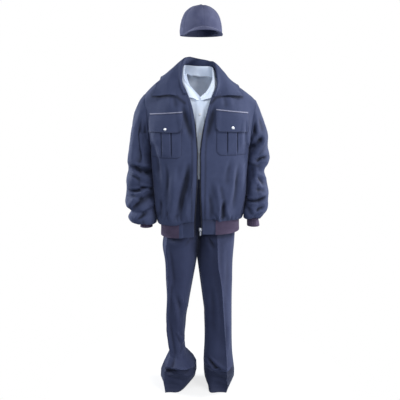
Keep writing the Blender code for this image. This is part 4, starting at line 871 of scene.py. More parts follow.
def declare(piece, fine):
    """The cut's size: its longest row and column, and the area between its borders."""
    base = fine.base
    wide = float(np.linalg.norm(np.diff(base, axis=1), axis=-1).sum(axis=1).max())
    long = float(np.linalg.norm(np.diff(base, axis=0), axis=-1).sum(axis=0).max())
    cell = np.cross(base[1:, :-1] - base[:-1, :-1], base[:-1, 1:] - base[:-1, :-1])
    area = float(np.linalg.norm(cell, axis=-1).sum())
    wide, long = round(wide + 0.005, 2), round(long + 0.005, 2)
    area = min(max(area, 0.31 * wide * long), wide * long)
    CUTS.append((piece.name, wide, long, round(area, 3)))


def dress(name, node, fine, cloth, slot, shade=0.0):
    """A shell on a fine piece, declared as a sheet with the size of its cut."""
    outer = fine.points
    inner = outer - fine.normals_of(outer) * cloth
    # Painted shade in the hollows of the folds, together with any other painted shade that is given.
    shade = np.maximum(fine.painted_shade(), shade)
    piece = shell(name, outer, inner, fine.u, fine.v, slot, node, fine.closed, shade)
    declare(piece, fine)


def tree_over(*grids):
    """A search tree over the outer faces of some fine grids."""
    points, faces = [], []
    for grid in grids:
        rows, cols = grid.shape[:2]
        start = len(points)
        points += grid.reshape(-1, 3).tolist()
        at = start + np.arange(rows * cols).reshape(rows, cols)
        quads = np.stack([at[:-1, :-1], at[:-1, 1:], at[1:, 1:], at[1:, :-1]], axis=-1)
        faces += quads.reshape(-1, 4).tolist()
    return BVHTree.FromPolygons(points, faces)


# %% [markdown]
# ## The jacket's body
#
# The body is two fronts and a back of polyester twill, gathered into a band that draws it in, so it blouses
# and falls in long slanting folds that start under the pockets. The creases that matter most are the deep one
# that crosses the right front, the drag lines from the collar's ends down the zip, and the short puckers that
# stand on the band.

# %% Jacket body
FRONT_FOLDS = {
    # x, z of the start, x, z of the end, bow, half width and depth, as in every table of folds below
    "right": [
        (-0.047, -0.290, -0.106, -0.560, 0.006, 0.0160, 0.0115),
        (-0.112, -0.310, -0.133, -0.520, 0.004, 0.0150, -0.0060),
        (-0.060, -0.420, -0.066, -0.556, 0.000, 0.0110, -0.0040),
        (-0.178, -0.460, -0.187, -0.560, 0.000, 0.0100, 0.0070),
        (-0.118, 0.004, -0.104, -0.064, 0.003, 0.0110, 0.0032),
        (-0.076, -0.036, -0.026, -0.200, -0.006, 0.0130, 0.0075),
        (-0.150, -0.300, -0.152, -0.440, 0.003, 0.0090, 0.0035),
        (-0.205, -0.200, -0.190, -0.380, 0.004, 0.0110, 0.0050),
        (-0.030, -0.330, -0.043, -0.470, 0.002, 0.0070, -0.0030),
    ],
    "left": [
        (0.107, -0.470, 0.114, -0.562, -0.008, 0.0095, 0.0095),
        (0.070, -0.380, 0.088, -0.545, 0.003, 0.0120, -0.0065),
        (0.040, -0.420, 0.048, -0.560, 0.003, 0.0090, 0.0045),
        (0.100, 0.004, 0.117, -0.064, 0.003, 0.0110, 0.0032),
        (0.062, -0.036, 0.020, -0.200, 0.006, 0.0130, 0.0075),
        (0.188, -0.290, 0.192, -0.480, 0.002, 0.0130, -0.0050),
        (0.164, -0.330, 0.148, -0.520, 0.004, 0.0110, 0.0050),
        (0.135, -0.290, 0.120, -0.410, -0.004, 0.0120, 0.0035),
        (0.195, -0.110, 0.200, -0.240, 0.000, 0.0080, 0.0040),
    ],
}
BACK_FOLDS = [
    (-0.165, -0.080, -0.070, -0.260, 0.012, 0.0140, 0.0080),
    (0.165, -0.085, 0.075, -0.240, -0.012, 0.0140, 0.0080),
    (-0.040, -0.280, -0.085, -0.560, 0.010, 0.0140, 0.0100),
    (0.050, -0.330, 0.060, -0.560, -0.006, 0.0130, 0.0085),
    (0.130, -0.300, 0.150, -0.560, 0.008, 0.0120, 0.0090),
    (-0.140, -0.360, -0.150, -0.560, 0.006, 0.0110, 0.0080),
    (0.005, -0.380, -0.010, -0.560, 0.003, 0.0110, -0.0060),
    (0.100, -0.420, 0.105, -0.560, 0.003, 0.0090, -0.0045),
    (-0.100, -0.120, 0.060, -0.135, 0.010, 0.0120, 0.0040),
]
BAND_SEAM_HEIGHT = -0.562
ZIP_SEAM = 0.0125  # how far the zip is sewn in from the edge
COLLAR_SHADOW = {
    # the line on each front under the collar's edge, along which a shadow is painted, by x and z
    "right": ((-0.208, -0.010), (-0.1445, -0.006), (-0.099, -0.010), (-0.066, -0.036)),
    "left": ((0.184, -0.013), (0.109, -0.005), (0.070, -0.013), (0.048, -0.036)),
}
SPACING = 0.0045


def away_from(fine, line):
    """How far each point is from a line in the front view."""
    x, z = fine.base[..., 0], fine.base[..., 2]
    best = np.full_like(x, np.inf)
    for (ax, az), (bx, bz) in zip(line, line[1:]):
        dx, dz = bx - ax, bz - az
        t = unit(((x - ax) * dx + (z - az) * dz) / (dx * dx + dz * dz))
        best = np.minimum(best, np.hypot(x - ax - t * dx, z - az - t * dz))
    return best


body = {}
for side, table in FRONT_FOLDS.items():
    body[side] = Fine(coarse[f"jacket_front_{side}"], SPACING)
    sign = SIDES[side]
    pressed(body[side], table)
    pressed(body[side], puckers(BAND_SEAM_HEIGHT, sign * 0.062, sign * 0.195, 8, 0.045, 0.0030, 4 + sign))
    swollen(body[side], 0.0011, 0.13, 20 + sign)
body["back"] = Fine(coarse["jacket_back"], SPACING)
pressed(body["back"], BACK_FOLDS, "back")
pressed(body["back"], puckers(BAND_SEAM_HEIGHT, -0.19, 0.19, 22, 0.045, 0.0030, 9), "back")
swollen(body["back"], 0.0012, 0.14, 31)
for part, fine in body.items():
    seamed(fine, bottom=False)
    shade = 0.0
    if part != "back":
        v, u = fine.flat_map()
        from_zip = (fine.u[-1] - u) if part == "right" else u
        line = bell(from_zip - ZIP_SEAM, 0.0017)
        fine.rise -= 0.0009 * line
        # Painted shade: a dark line along the zip's seam, and a painted shadow under the collar's edge.
        under = away_from(fine, COLLAR_SHADOW[part])
        shade = np.maximum(0.6 * line, 0.9 * bell(under, 0.0065))
    node = "jacket_back" if part == "back" else f"jacket_front_{part}"
    dress(node + "_cloth", node, fine, CLOTH["jacket"], "jacket_twill", shade)
trunk = tree_over(*(fine.points for fine in body.values()))
print("jacket body:", {part: fine.points.shape[:2] for part, fine in body.items()})

# %% [markdown]
# ## The sleeves
#
# A blouson's sleeve is cut wide and long, then drawn in by a knitted cuff, so it stacks up in folds across
# its width. The right one hangs a little bent: a broad shaded trough runs down to its middle, and slanting
# folds cross its lower half. The left one has a deep crease above its middle and another near the cuff.

# %% Sleeves
SLEEVE_FRONTS = {
    "right": [
        (-0.279, -0.090, -0.262, -0.310, 0.004, 0.0190, 0.0110),
        (-0.320, -0.320, -0.212, -0.366, 0.004, 0.0120, 0.0150),
        (-0.328, -0.426, -0.243, -0.408, -0.014, 0.0070, 0.0085),
        (-0.280, -0.407, -0.206, -0.427, -0.003, 0.0065, 0.0065),
        (-0.312, -0.518, -0.210, -0.440, 0.003, 0.0150, 0.0150),
        (-0.216, -0.500, -0.200, -0.556, 0.000, 0.0100, 0.0080),
        (-0.290, -0.566, -0.236, -0.530, 0.004, 0.0080, 0.0060),
        (-0.262, -0.070, -0.290, -0.180, -0.006, 0.0100, -0.0040),
        (-0.315, -0.455, -0.250, -0.470, 0.004, 0.0080, 0.0045),
        (-0.310, -0.360, -0.270, -0.380, 0.002, 0.0070, 0.0040),
        (-0.244, -0.120, -0.240, -0.210, 0.000, 0.0080, 0.0060),
    ],
    "left": [
        (0.286, -0.186, 0.228, -0.254, -0.006, 0.0120, 0.0140),
        (0.244, -0.297, 0.310, -0.278, 0.004, 0.0070, 0.0095),
        (0.252, -0.360, 0.300, -0.412, 0.003, 0.0090, 0.0065),
        (0.216, -0.478, 0.308, -0.458, -0.005, 0.0080, 0.0110),
        (0.248, -0.524, 0.296, -0.506, 0.003, 0.0080, 0.0065),
        (0.236, -0.305, 0.242, -0.390, 0.003, 0.0090, 0.0070),
        (0.262, -0.100, 0.284, -0.175, 0.004, 0.0110, 0.0050),
        (0.240, -0.120, 0.238, -0.200, 0.000, 0.0080, 0.0060),
        (0.250, -0.425, 0.300, -0.432, 0.004, 0.0080, 0.0045),
        (0.228, -0.505, 0.235, -0.545, 0.000, 0.0080, 0.0060),
    ],
}
SLEEVE_BACKS = {
    "right": [
        (-0.300, -0.140, -0.245, -0.260, 0.006, 0.0140, 0.0090),
        (-0.320, -0.330, -0.235, -0.300, -0.006, 0.0110, 0.0110),
        (-0.325, -0.390, -0.240, -0.400, 0.006, 0.0100, 0.0090),
        (-0.320, -0.470, -0.230, -0.430, 0.004, 0.0110, 0.0110),
        (-0.310, -0.530, -0.230, -0.505, 0.004, 0.0100, 0.0090),
    ],
    "left": [
        (0.290, -0.150, 0.240, -0.255, -0.006, 0.0140, 0.0090),
        (0.300, -0.320, 0.236, -0.300, 0.005, 0.0100, 0.0100),
        (0.295, -0.390, 0.240, -0.365, 0.004, 0.0100, 0.0085),
        (0.300, -0.450, 0.236, -0.470, -0.004, 0.0100, 0.0100),
        (0.290, -0.520, 0.236, -0.500, 0.004, 0.0090, 0.0080),
    ],
}
LEAN_LIMIT = 0.013
UNDERARM = -0.17
BODY_GAP = 0.0008


def lean(fine, sign):
    """Fills a sleeve out on the body's side until it almost rests there."""
    for i, j in np.argwhere((fine.plain[..., 0] * sign < -0.15) & (fine.base[..., 2] < UNDERARM)):
        point = fine.base[i, j] + fine.plain[i, j] * fine.rise[i, j]
        away = trunk.find_nearest(Vector(point))[3]
        turned_in = min(1, -1.6 * fine.plain[i, j, 0] * sign)
        fine.rise[i, j] += min(max(away - BODY_GAP, 0), LEAN_LIMIT) * turned_in


def tucked(fine, reach=0.006, inwards=0.0030):
    """Turns the sleeve's top edge in under the armhole, as its seam allowance does."""
    ring = fine.points[-1]
    up = ring - fine.points[-6]
    up /= np.linalg.norm(up, axis=1, keepdims=True)
    turned_in = ring + up * reach - fine.plain[-1] * inwards
    fine.base = np.concatenate([fine.base, turned_in[None]])
    fine.plain = np.concatenate([fine.plain, fine.plain[-1:]])
    fine.rise = np.concatenate([fine.rise, 0 * fine.rise[-1:]])
    fine.v = np.append(fine.v, fine.v[-1] + reach)


SLEEVE_SHADOWS = {
    # x, z of the lines along which the shadows of the deepest folds are painted, and each one's width
    "right": [
        (((-0.305, -0.322), (-0.215, -0.354)), 0.0090),
        (((-0.232, -0.270), (-0.214, -0.340)), 0.0150),
        (((-0.226, -0.456), (-0.300, -0.511)), 0.0070),
        (((-0.212, -0.520), (-0.209, -0.575)), 0.0130),
    ],
    "left": [
        (((0.215, -0.300), (0.262, -0.318)), 0.0060),
    ],
}
sleeves = {}
loose = coarse["jacket_sleeve_right"].points
loose[..., 2] += 0.010 * unit((-0.49 - loose[..., 2]) / 0.05)
for side, sign in SIDES.items():
    fine = sleeves[side] = Fine(coarse[f"jacket_sleeve_{side}"], SPACING * 1.1)
    pressed(fine, SLEEVE_FRONTS[side])
    pressed(fine, SLEEVE_BACKS[side], "back")
    swollen(fine, 0.0013, 0.11, 50 + sign)
    seamed(fine, bottom=False)
    lean(fine, sign)
    tucked(fine)
    # Painted shadows along the deepest folds, on the sleeve's front half only.
    shade = np.zeros(fine.base.shape[:2])
    for line, width in SLEEVE_SHADOWS[side]:
        shade = np.maximum(shade, 0.75 * bell(away_from(fine, line), width))
    shade *= fine.base[..., 1] < 0
    node = f"jacket_sleeve_{side}"
    dress(node + "_cloth", node, fine, CLOTH["jacket"], "jacket_twill", shade=shade)
print("sleeves:", {side: fine.points.shape[:2] for side, fine in sleeves.items()})

# %% [markdown]
# ## The collar
#
# The collar is one piece that stands up from the neckline, rolls over and falls on the shoulders. Its grid
# has few rows, so the spline gives the roll its round; a slight dip along the edge is where the stitching
# holds the two layers together.

# %% Jacket collar
LEAF_ENDS = {
    # how far each end of the collar moves up, by rows from the leaf's edge to the neckline
    "right": (0.0120, 0.0030, -0.0060, -0.0150, -0.0140, -0.0120, -0.0080, -0.0040),
    "left": (0.0100, 0.0075, 0.0030, -0.0040, -0.0050, -0.0050, -0.0030, 0.0),
}
for side, moves in LEAF_ENDS.items():
    for step, share in enumerate((1.0, 0.6, 0.3, 0.1)):
        column = step if side == "right" else -1 - step
        coarse["jacket_collar"].points[:, column, 2] += share * np.array(moves)
COLLAR_EDGE = 0.007  # how far in the edge is stitched
collar = Fine(coarse["jacket_collar"], SPACING * 0.9)
swollen(collar, 0.0007, 0.12, 71)
v, u = collar.flat_map()
from_end = np.minimum(u, collar.u[-1] - u)
leaf = unit(1 - v / 0.10)
collar.rise += 0.0045 * np.exp(-from_end / 0.012) * leaf + 0.0020 * np.exp(-v / 0.010)
collar.rise -= 0.0007 * bell(v - COLLAR_EDGE, 0.0016)
seamed(collar)
dress("jacket_collar_cloth", "jacket_collar", collar, CLOTH["jacket"], "jacket_twill")
print("collar:", collar.points.shape[:2])

# %% [markdown]
# ## Pockets, flaps and piping
#
# The chest pockets are patches sewn on three sides, with a box pleat down the middle and a flap over the
# mouth. In the pattern each is flat, so here each starts as a flat outline in the front view, and rays find
# the cloth that it lies on. The stitched edge pulls down into the panel, and the middle stands off it.

# %% Lay a patch on cloth
class Patch(Fine):
    """A patch that lies on cloth, from the x and z of its points in the front view."""

    def __init__(self, xs, zs, rest):
        hits = np.empty((*xs.shape, 3))
        for index in np.ndindex(xs.shape):
            start = Vector((xs[index], -1.0, zs[index]))
            hit = trunk.ray_cast(start, Vector((0, 1, 0)))[0]
            if hit is None:
                hit = trunk.find_nearest(Vector((xs[index], -0.12, zs[index])))[0]
            hits[index] = hit
        self.closed, self.facing = False, 1
        self.u = knots_along(hits, 1)
        self.v = knots_along(hits, 0)
        self.plain = self.normals_of(hits)
        self.base = hits + self.plain * rest
        self.rise = np.zeros(xs.shape)

    def points_at(self, cloth):
        return self.base + self.plain * (self.rise + cloth)[..., None]


def sew_on(name, node, patch, cloth, slot):
    """A shell for a patch. A flap hangs free as an even sheet, and a pocket is full down to the panel."""
    outer = patch.points_at(cloth)
    if node.startswith("jacket_flap"):
        patch.base += patch.plain * (patch.rise - 0.0002)[..., None]
        patch.rise = np.full_like(patch.rise, 0.0002)
    # Painted shade in the patch's hollows and along its borders; the piping gets none.
    painted_shade = np.maximum(patch.painted_shade(0.005, 0.0010), np.exp(-edge_distance(patch) / 0.0016) * 0.9)
    piece = shell(name, outer, patch.base, patch.u, patch.v, slot, node, painted_shade=painted_shade * (slot != "piping"))
    declare(piece, patch)
    return outer


def rounded_bottom(xs, inner, bottom, radius):
    """The z of an edge whose corner nearest the middle is rounded."""
    reach = np.clip(radius - np.abs(xs - inner), 0, radius)
    return bottom + radius - np.sqrt(radius**2 - reach**2)


def edge_distance(patch):
    """How far each point is from the nearest border."""
    v, u = patch.flat_map()
    return np.minimum(np.minimum(v, patch.v[-1] - v), np.minimum(u, patch.u[-1] - u))


POCKETS = {
    # inner x, outer x, top, bottom, radius of the inner corner, middle and half width of the pleat
    "right": (-0.080, -0.214, -0.104, -0.275, 0.026, -0.1465, 0.0190),
    "left": (0.072, 0.204, -0.100, -0.262, 0.026, 0.1400, 0.0195),
}
FLAPS = {
    # inner x, outer x, top at the inner end, top at the outer end, bottom, radius, drop of the outer corner
    "right": (-0.077, -0.219, -0.078, -0.089, -0.162, 0.020, 0.000),
    "left": (0.071, 0.210, -0.067, -0.083, -0.156, 0.014, -0.006),
}
STUDS = {"right": (-0.151, -0.148), "left": (0.142, -0.141)}
PIPING = {"width": 0.0050, "height": 0.0020, "above": 0.0010, "cloth": 0.0004}
POCKET_CLOTH = 0.0012
FLAP_CLOTH = 0.0014
FLAP_CLEARS = 0.0066  # the height of the pocket's pleat under the flap
PATCH_STEP = 0.0022


def chest_pocket(side):
    """A pocket with a box pleat, sewn down on three sides."""
    inner, outer, top, bottom, radius, pleat, half = POCKETS[side]
    low, high = min(inner, outer), max(inner, outer)
    folds = (pleat - half - low, pleat + half - low)
    xs = low + marks(high - low, PATCH_STEP, folds)
    ends = rounded_bottom(xs, inner, bottom, radius)
    share = marks(top - bottom, PATCH_STEP) / (top - bottom)
    zs = ends[None, :] + (top - ends[None, :]) * share[:, None]
    patch = Patch(np.tile(xs, (len(share), 1)), zs, 0.0004)
    away = edge_distance(patch)
    full = 0.0030 * (1 - np.exp(-away / 0.009))
    across = np.abs(xs - pleat)[None, :] - half
    sewn_down = unit((zs - ends[None, :]) / 0.022)
    proud = 0.0020 * unit(0.5 - across / 0.0016)
    groove = -0.0038 * bell(across - 0.0022, 0.0023)
    stitched = -0.0005 * bell(away - 0.0050, 0.0010)
    patch.rise += full + (proud + groove) * sewn_down + stitched - 0.0004 * np.exp(-away / 0.0012)
    return patch


def pocket_flap(side):
    """A flap that clears the pocket's mouth and lifts a little at its lower edge."""
    inner, outer, top_in, top_out, bottom, radius, drop = FLAPS[side]
    low, high = min(inner, outer), max(inner, outer)
    xs = low + marks(high - low, PATCH_STEP)
    across = (xs - inner) / (outer - inner)
    ends = rounded_bottom(xs, inner, bottom, radius) + drop * across
    tops = top_in + (top_out - top_in) * across
    share = marks(top_in - bottom, PATCH_STEP) / (top_in - bottom)
    zs = ends[None, :] + (tops - ends)[None, :] * share[:, None]
    patch = Patch(np.tile(xs, (len(share), 1)), zs, 0.0006)
    away = edge_distance(patch)
    patch.rise += FLAP_CLEARS * unit((tops[None, :] - zs) / 0.030) ** 0.7
    sides = np.minimum(patch.u, patch.u[-1] - patch.u)[None, :]
    lifted = 0.0042 * np.exp(-(zs - ends[None, :]) / 0.014)
    patch.rise += 0.0010 * (1 - np.exp(-away / 0.006)) + lifted * np.clip(sides / 0.01, 0.3, 1)
    patch.rise -= 0.0005 * bell(away - 0.0055, 0.0010)
    return patch


def piped_line(side):
    """A half round cord along the flap's top."""
    inner, outer, top_in, top_out = FLAPS[side][:4]
    low, high = min(inner, outer), max(inner, outer)
    xs = low + np.linspace(0, high - low, 70)
    tops = top_in + (top_out - top_in) * (xs - inner) / (outer - inner)
    turn = np.linspace(0, math.pi, 9)
    zs = tops[None, :] + PIPING["above"] + PIPING["width"] * (0.5 - 0.5 * np.cos(turn))[:, None]
    patch = Patch(np.tile(xs, (len(turn), 1)), zs, 0.0003)
    patch.rise += PIPING["height"] * np.sin(turn)[:, None] ** 0.7
    return patch


pockets, flaps, flap_faces = {}, {}, {}
for side in SIDES:
    pockets[side] = chest_pocket(side)
    node = f"jacket_pocket_{side}"
    sew_on(node + "_cloth", node, pockets[side], POCKET_CLOTH, "jacket_twill")
    flaps[side] = pocket_flap(side)
    node = f"jacket_flap_{side}"
    flap_faces[side] = sew_on(node + "_cloth", node, flaps[side], FLAP_CLOTH, "jacket_twill")
    node = f"jacket_piping_{side}"
    sew_on(node + "_cord", node, piped_line(side), PIPING["cloth"], "piping")
print("pockets:", {side: patch.points.shape[:2] for side, patch in pockets.items()})
print("flaps:", {side: patch.points.shape[:2] for side, patch in flaps.items()})

# %% [markdown]
# ## Snap studs and buttons
#
# A snap stud is a thin shell of bright metal pressed over its socket, and a shirt button is a disc with a
# raised rim, held by two crossed threads. Both are turned: a profile goes round an axis that stands on the
# cloth.

# %% Turn studs and buttons
STUD_PROFILE = (
    # radius and height, from the cloth up
    (0.0062, 0.0), (0.0066, 0.0006), (0.0063, 0.0013), (0.0050, 0.0022), (0.0030, 0.0028), (0.0, 0.0031),
)
BUTTON_PROFILE = (
    (0.0054, 0.0), (0.0057, 0.0007), (0.0054, 0.0016), (0.0046, 0.0020), (0.0040, 0.0016), (0.0, 0.0014),
)


def turned(name, profile, point, normal, slot, node, steps):
    """A turned shape that stands on a point with its axis along a normal."""
    bm = bmesh.new()
    turn = normal.to_track_quat("Z", "Y")
    rings = []
    for radius, height in profile:
        angles = [2 * math.pi * k / steps for k in range(steps)] if radius > 0 else [0]
        ring = [Vector((radius * math.cos(a), radius * math.sin(a), height)) for a in angles]
        rings.append([bm.verts.new(point + turn @ corner) for corner in ring])
    for low, high in zip(rings, rings[1:]):
        for k in range(steps):
            end = high if len(high) == 1 else (high[(k + 1) % steps], high[k])
            bm.faces.new((low[k], low[(k + 1) % steps], *end))
    bm.faces.new(rings[0][::-1])
    mesh = bpy.data.meshes.new(name)
    bm.to_mesh(mesh)
    bm.free()
    finished(name, mesh, slot, node)


def spot_on(tree, x, z):
    """The point of some cloth that is seen at x and z from the front, and its normal."""
    return tree.ray_cast(Vector((x, -1.0, z)), Vector((0, 1, 0)))[:2]


for side in SIDES:
    hit, normal = spot_on(tree_over(flap_faces[side]), *STUDS[side])
    facing = (normal + Vector((0, -1.5, 0.3))).normalized()
    node = f"jacket_stud_{side}"
    turned(node + "_cap", STUD_PROFILE, hit, facing, "bright_metal", node, 28)

# %% [markdown]
# ## Waistband and cuffs
#
# The waistband is knitted in ribs round the back and sides, with a woven tab at each end of the zip. Rib knit
# is drawn from the sleeve's and the hem's own edges, so it starts just inside them: each rib is a rounded
# ridge, and the fabric bellies a little between its two sewn edges.

# %% Band under the hem
class Strip(Fine):
    """A strip that is drawn on the spot from the lines of its points."""

    def __init__(self, base, u, v, facing=1, closed=False):
        self.base, self.u, self.v, self.facing, self.closed = base, u, v, facing, closed
        self.plain = self.normals_of(base)
        self.rise = np.zeros(base.shape[:2])


BAND = {"height": 0.070, "tuck": 0.0026, "above": 0.0020, "draw": 0.990, "ribs": 56, "rise": 0.0017}
TAB_LENGTH = {"right": 0.068, "left": 0.060}
TAB_STITCH = 0.005
SEAM = 0.0003
KNIT = 0.0024
RIB_POINTS = 8


def flat_round(vectors):
    """Unit vectors with no upward part."""
    level = vectors * [1, 1, 0]
    return level / np.linalg.norm(level, axis=-1, keepdims=True)


def lengths_of(line):
    """How far along a line each of its points is."""
    return np.concatenate([[0.0], np.cumsum(np.linalg.norm(np.diff(line, axis=0), axis=1))])


def read_along(line, values, at):
    """Values that are given at a line's points, read at distances along it."""
    along = lengths_of(line)
    return np.stack([np.interp(at, along, values[:, k]) for k in range(3)], axis=1)


def hem_line():
    """The jacket's hem from the zip round the back to the zip, and which way is out."""
    order = (("right", -1), ("back", 1), ("left", -1))
    line = np.concatenate([body[part].points[0][::step] for part, step in order])
    facing = np.concatenate([flat_round(body[part].plain[0])[::step] for part, step in order])
    keep = np.concatenate([[True], np.linalg.norm(np.diff(line, axis=0), axis=1) > 0.0004])
    return line[keep], facing[keep]


def ribbed_wall(low, top, out, share, rise, belly):
    """The middle, outer and inner grids of a band between two lines."""
    grid = low[None] + (top - low)[None] * share[:, None, None]
    outer = grid + out[None] * (rise[None, :] + belly[:, None])[..., None]
    return grid, outer, grid - out[None] * (KNIT - belly[:, None])[..., None]


def band_piece(node, at, rise, slot):
    """A part of the band, between two distances along the hem, that stands out by its rise."""
    line, facing = hem_line()
    out = flat_round(read_along(line, facing, at))
    top = read_along(line, line, at) - out * BAND["tuck"]
    low = top * [BAND["draw"], BAND["draw"], 1] - [0, 0, BAND["height"]]
    top = top + [0, 0, BAND["above"]]
    share = marks(BAND["height"], 0.004) / BAND["height"]
    belly = 0.0022 * np.sin(math.pi * share) ** 0.8 - 0.0006
    grid, outer, inner = ribbed_wall(low, top, out, share, rise, belly)
    # Painted shade: darker towards the top, where the jacket blouses over the band, and in the knit between
    # its ribs.
    shade = np.tile(0.15 + 0.45 * share[:, None] ** 3, (1, len(at)))
    if slot == "rib_knit":
        shade = shade + 0.5 * unit(1 - rise / (0.5 * BAND["rise"]))[None, :]
    u, v = at - at[0], share * BAND["height"]
    piece = shell(node + "_cloth", outer, inner, u, v, slot, node, painted_shade=shade)
    declare(piece, Strip(grid, u, v, -1))
    return Strip(outer, u, v, -1)


def tab_rise(near):
    """A tab's edge turns under, with a row of stitches beside it."""
    return -0.0006 * bell(near, 0.0015) - 0.0005 * bell(near - TAB_STITCH, 0.001) + 0.0006


hem_length = lengths_of(hem_line()[0])[-1]
tab_ends = (TAB_LENGTH["right"], hem_length - TAB_LENGTH["left"])
rib_at = np.linspace(*tab_ends, BAND["ribs"] * RIB_POINTS + 1)
phase = (rib_at - rib_at[0]) / (rib_at[-1] - rib_at[0]) * BAND["ribs"]
ribs = BAND["rise"] * np.abs(np.sin(math.pi * phase)) ** 0.8
band_piece("jacket_waist_rib", rib_at, ribs, "rib_knit")
tabs = {}
for side, start, end in (("right", 0.0, tab_ends[0] - SEAM), ("left", tab_ends[1] + SEAM, hem_length)):
    at = start + marks(end - start, 0.0035)
    rise = tab_rise(np.minimum(at - start, end - at))
    tabs[side] = band_piece(f"jacket_waist_tab_{side}", at, rise, "jacket_twill")
rib_step = (rib_at[-1] - rib_at[0]) / BAND["ribs"]
print("band: length", round(hem_length, 3), "ribs every", round(rib_step * 1000, 1), "mm")

# %% Cuffs
CUFFS = {
    # unsigned: z of the edge, outer x, inner x, middle y, half depth
    "right": (-0.608, 0.2780, 0.2215, -0.037, 0.0315),
    "left": (-0.604, 0.2770, 0.2205, -0.031, 0.0315),
}
CUFF_RIBS = 22
CUFF_RISE = 0.0014


def cuff(side, sign):
    """A knitted tube from the sleeve's lower edge to an oval."""
    z, x_out, x_in, y, half_depth = CUFFS[side]
    ring = sleeves[side].points[0]
    at = np.linspace(0, lengths_of(ring)[-1], CUFF_RIBS * RIB_POINTS + 1)
    top = read_along(ring, ring, at)
    middle = ring[:-1].mean(axis=0)
    out = flat_round(top - middle)
    top = top - out * 0.0030 + [0, 0, 0.0010]
    centre = np.array([sign * (x_out + x_in) / 2, y, z])
    half = np.array([(x_out - x_in) / 2, half_depth])
    angle = np.arctan2((top[:, 1] - middle[1]) / half[1], (top[:, 0] - middle[0]) / half[0])
    low = centre + np.stack([half[0] * np.cos(angle), half[1] * np.sin(angle), np.zeros_like(angle)], axis=1)
    height = float(np.linalg.norm(top - low, axis=1).mean())
    share = marks(height, 0.004) / height
    belly = 0.0020 * np.sin(math.pi * share) ** 0.8 - 0.0005
    rise = CUFF_RISE * np.abs(np.sin(math.pi * np.linspace(0, CUFF_RIBS, len(at)))) ** 0.8
    grid, outer, inner = ribbed_wall(low, top, out, share, rise, belly)
    node = f"jacket_cuff_{side}"
    piece = shell(node + "_knit", outer, inner, at, share * height, "rib_knit", node, closed=True)
    declare(piece, Strip(grid, at, share, 1, True))


for side, sign in SIDES.items():
    cuff(side, sign)

# %% [markdown]
# ## The zip
#
# The zip is open: a woven tape is sewn behind each front's edge, and its teeth stand on the tape's free edge.
# The teeth are one small shape repeated, so a node tree sets them along a line, and the same tree serves the
# stitches later.

# %% Tapes
TAPE = {"rest": 0.0011, "under": 0.010, "beyond": 0.0045, "cloth": 0.0010, "top_row": 10, "ends_over": 0.07}


def front_edge(side):
    """The edge of a front from the band's lower edge up to the neckline."""
    column = -1 if side == "right" else 0
    edge = body[side].points[:, column]
    limit = coarse[f"jacket_front_{side}"].points[TAPE["top_row"], column, 2]
    edge = edge[edge[:, 2] <= limit + 1e-6]
    lowest = edge[0] * [BAND["draw"], BAND["draw"], 1] - [0, 0, BAND["height"]]
    steps = np.linspace(0, 1, 16)[:-1, None]
    return np.concatenate([lowest + (edge[0] - lowest) * steps, edge])


def zip_tape(side, sign):
    """A tape behind a front's edge. What comes back is its free edge, where the teeth stand."""
    line = front_edge(side) + [0, CLOTH["jacket"] + TAPE["rest"] + 0.0006, 0]
    shifts = np.array([-TAPE["beyond"], -0.004, -0.002, 0.0, 0.005, TAPE["under"]]) * sign
    if sign < 0:
        shifts = shifts[::-1]
    v = lengths_of(line)
    shown = unit((v[-1] - v) / TAPE["ends_over"])
    free = np.where(shifts * sign < 0, shown[:, None], 1.0) * shifts
    grid = line[:, None, :] + np.stack([free, 0 * free, 0 * free], axis=-1)
    u = np.abs(shifts - shifts[0])
    node = f"zip_tape_{side}"
    piece = shell(node + "_cloth", grid, grid + [0, TAPE["cloth"], 0], u, v, "zip_tape", node)
    declare(piece, Strip(grid, u, v))
    free_edge = line - np.stack([sign * TAPE["beyond"] * shown, 0 * v, 0 * v], axis=1)
    return free_edge[v < v[-1] - TAPE["ends_over"] / 2]


teeth_lines = {side: zip_tape(side, sign) for side, sign in SIDES.items()}

# %% [markdown]
# ## Trousers
#
# Each leg is a front and a back, pressed with a crease down the middle that stays sharp all the way to the
# hem. The legs are long, so they break above the hem and lie in a soft heap there. The light streaks down the
# outer side of the right leg are low ridges where the cloth swings free.

# %% Trouser legs
HEM_FRONTS = {
    # x and y of the front's hem line at its side, at its two front corners and at its other side
    "right": ((-0.184, 0.0), (-0.1685, -0.108), (-0.096, -0.108), (-0.050, 0.0)),
    "left": ((0.033, 0.0), (0.0497, -0.108), (0.1275, -0.108), (0.156, 0.0)),
}
HEM_STOPS = {"right": (0.0, 0.5, 0.82, 1.0), "left": (0.0, 0.25, 0.5, 1.0)}
BREAK_OUT = (-0.006, -0.014, -0.010, 0.004, 0.018, 0.004)  # how far out the front goes, by rows from the hem
CREASE_COLUMN = 4
BROKEN_ROWS = (1, 2, 3, 4, 5)  # where the leg breaks it bends in corners


def hemmed(grid, side):
    """Squares the front of a hem and hangs the cloth over it, as a long trouser leg breaks."""
    across = np.linspace(0, 1, grid.points.shape[1])
    corners = np.array(HEM_FRONTS[side])
    line = np.stack([np.interp(across, HEM_STOPS[side], corners[:, k]) for k in range(2)], axis=1)
    line[CREASE_COLUMN, 1] -= 0.004
    line[[0, -1]] = grid.points[0, [0, -1], :2]
    for row, share in ((0, 1.0), (1, 0.45)):
        squared = line * 1.0
        squared[:, 0] = np.interp(line[:, 0], line[[0, -1], 0], grid.points[row, [0, -1], 0])
        grid.points[row, :, :2] += share * (squared - grid.points[row, :, :2])
    middle = np.sin(across * math.pi)
    for row, out in enumerate(BREAK_OUT):
        grid.points[row, :, 1] -= out * middle


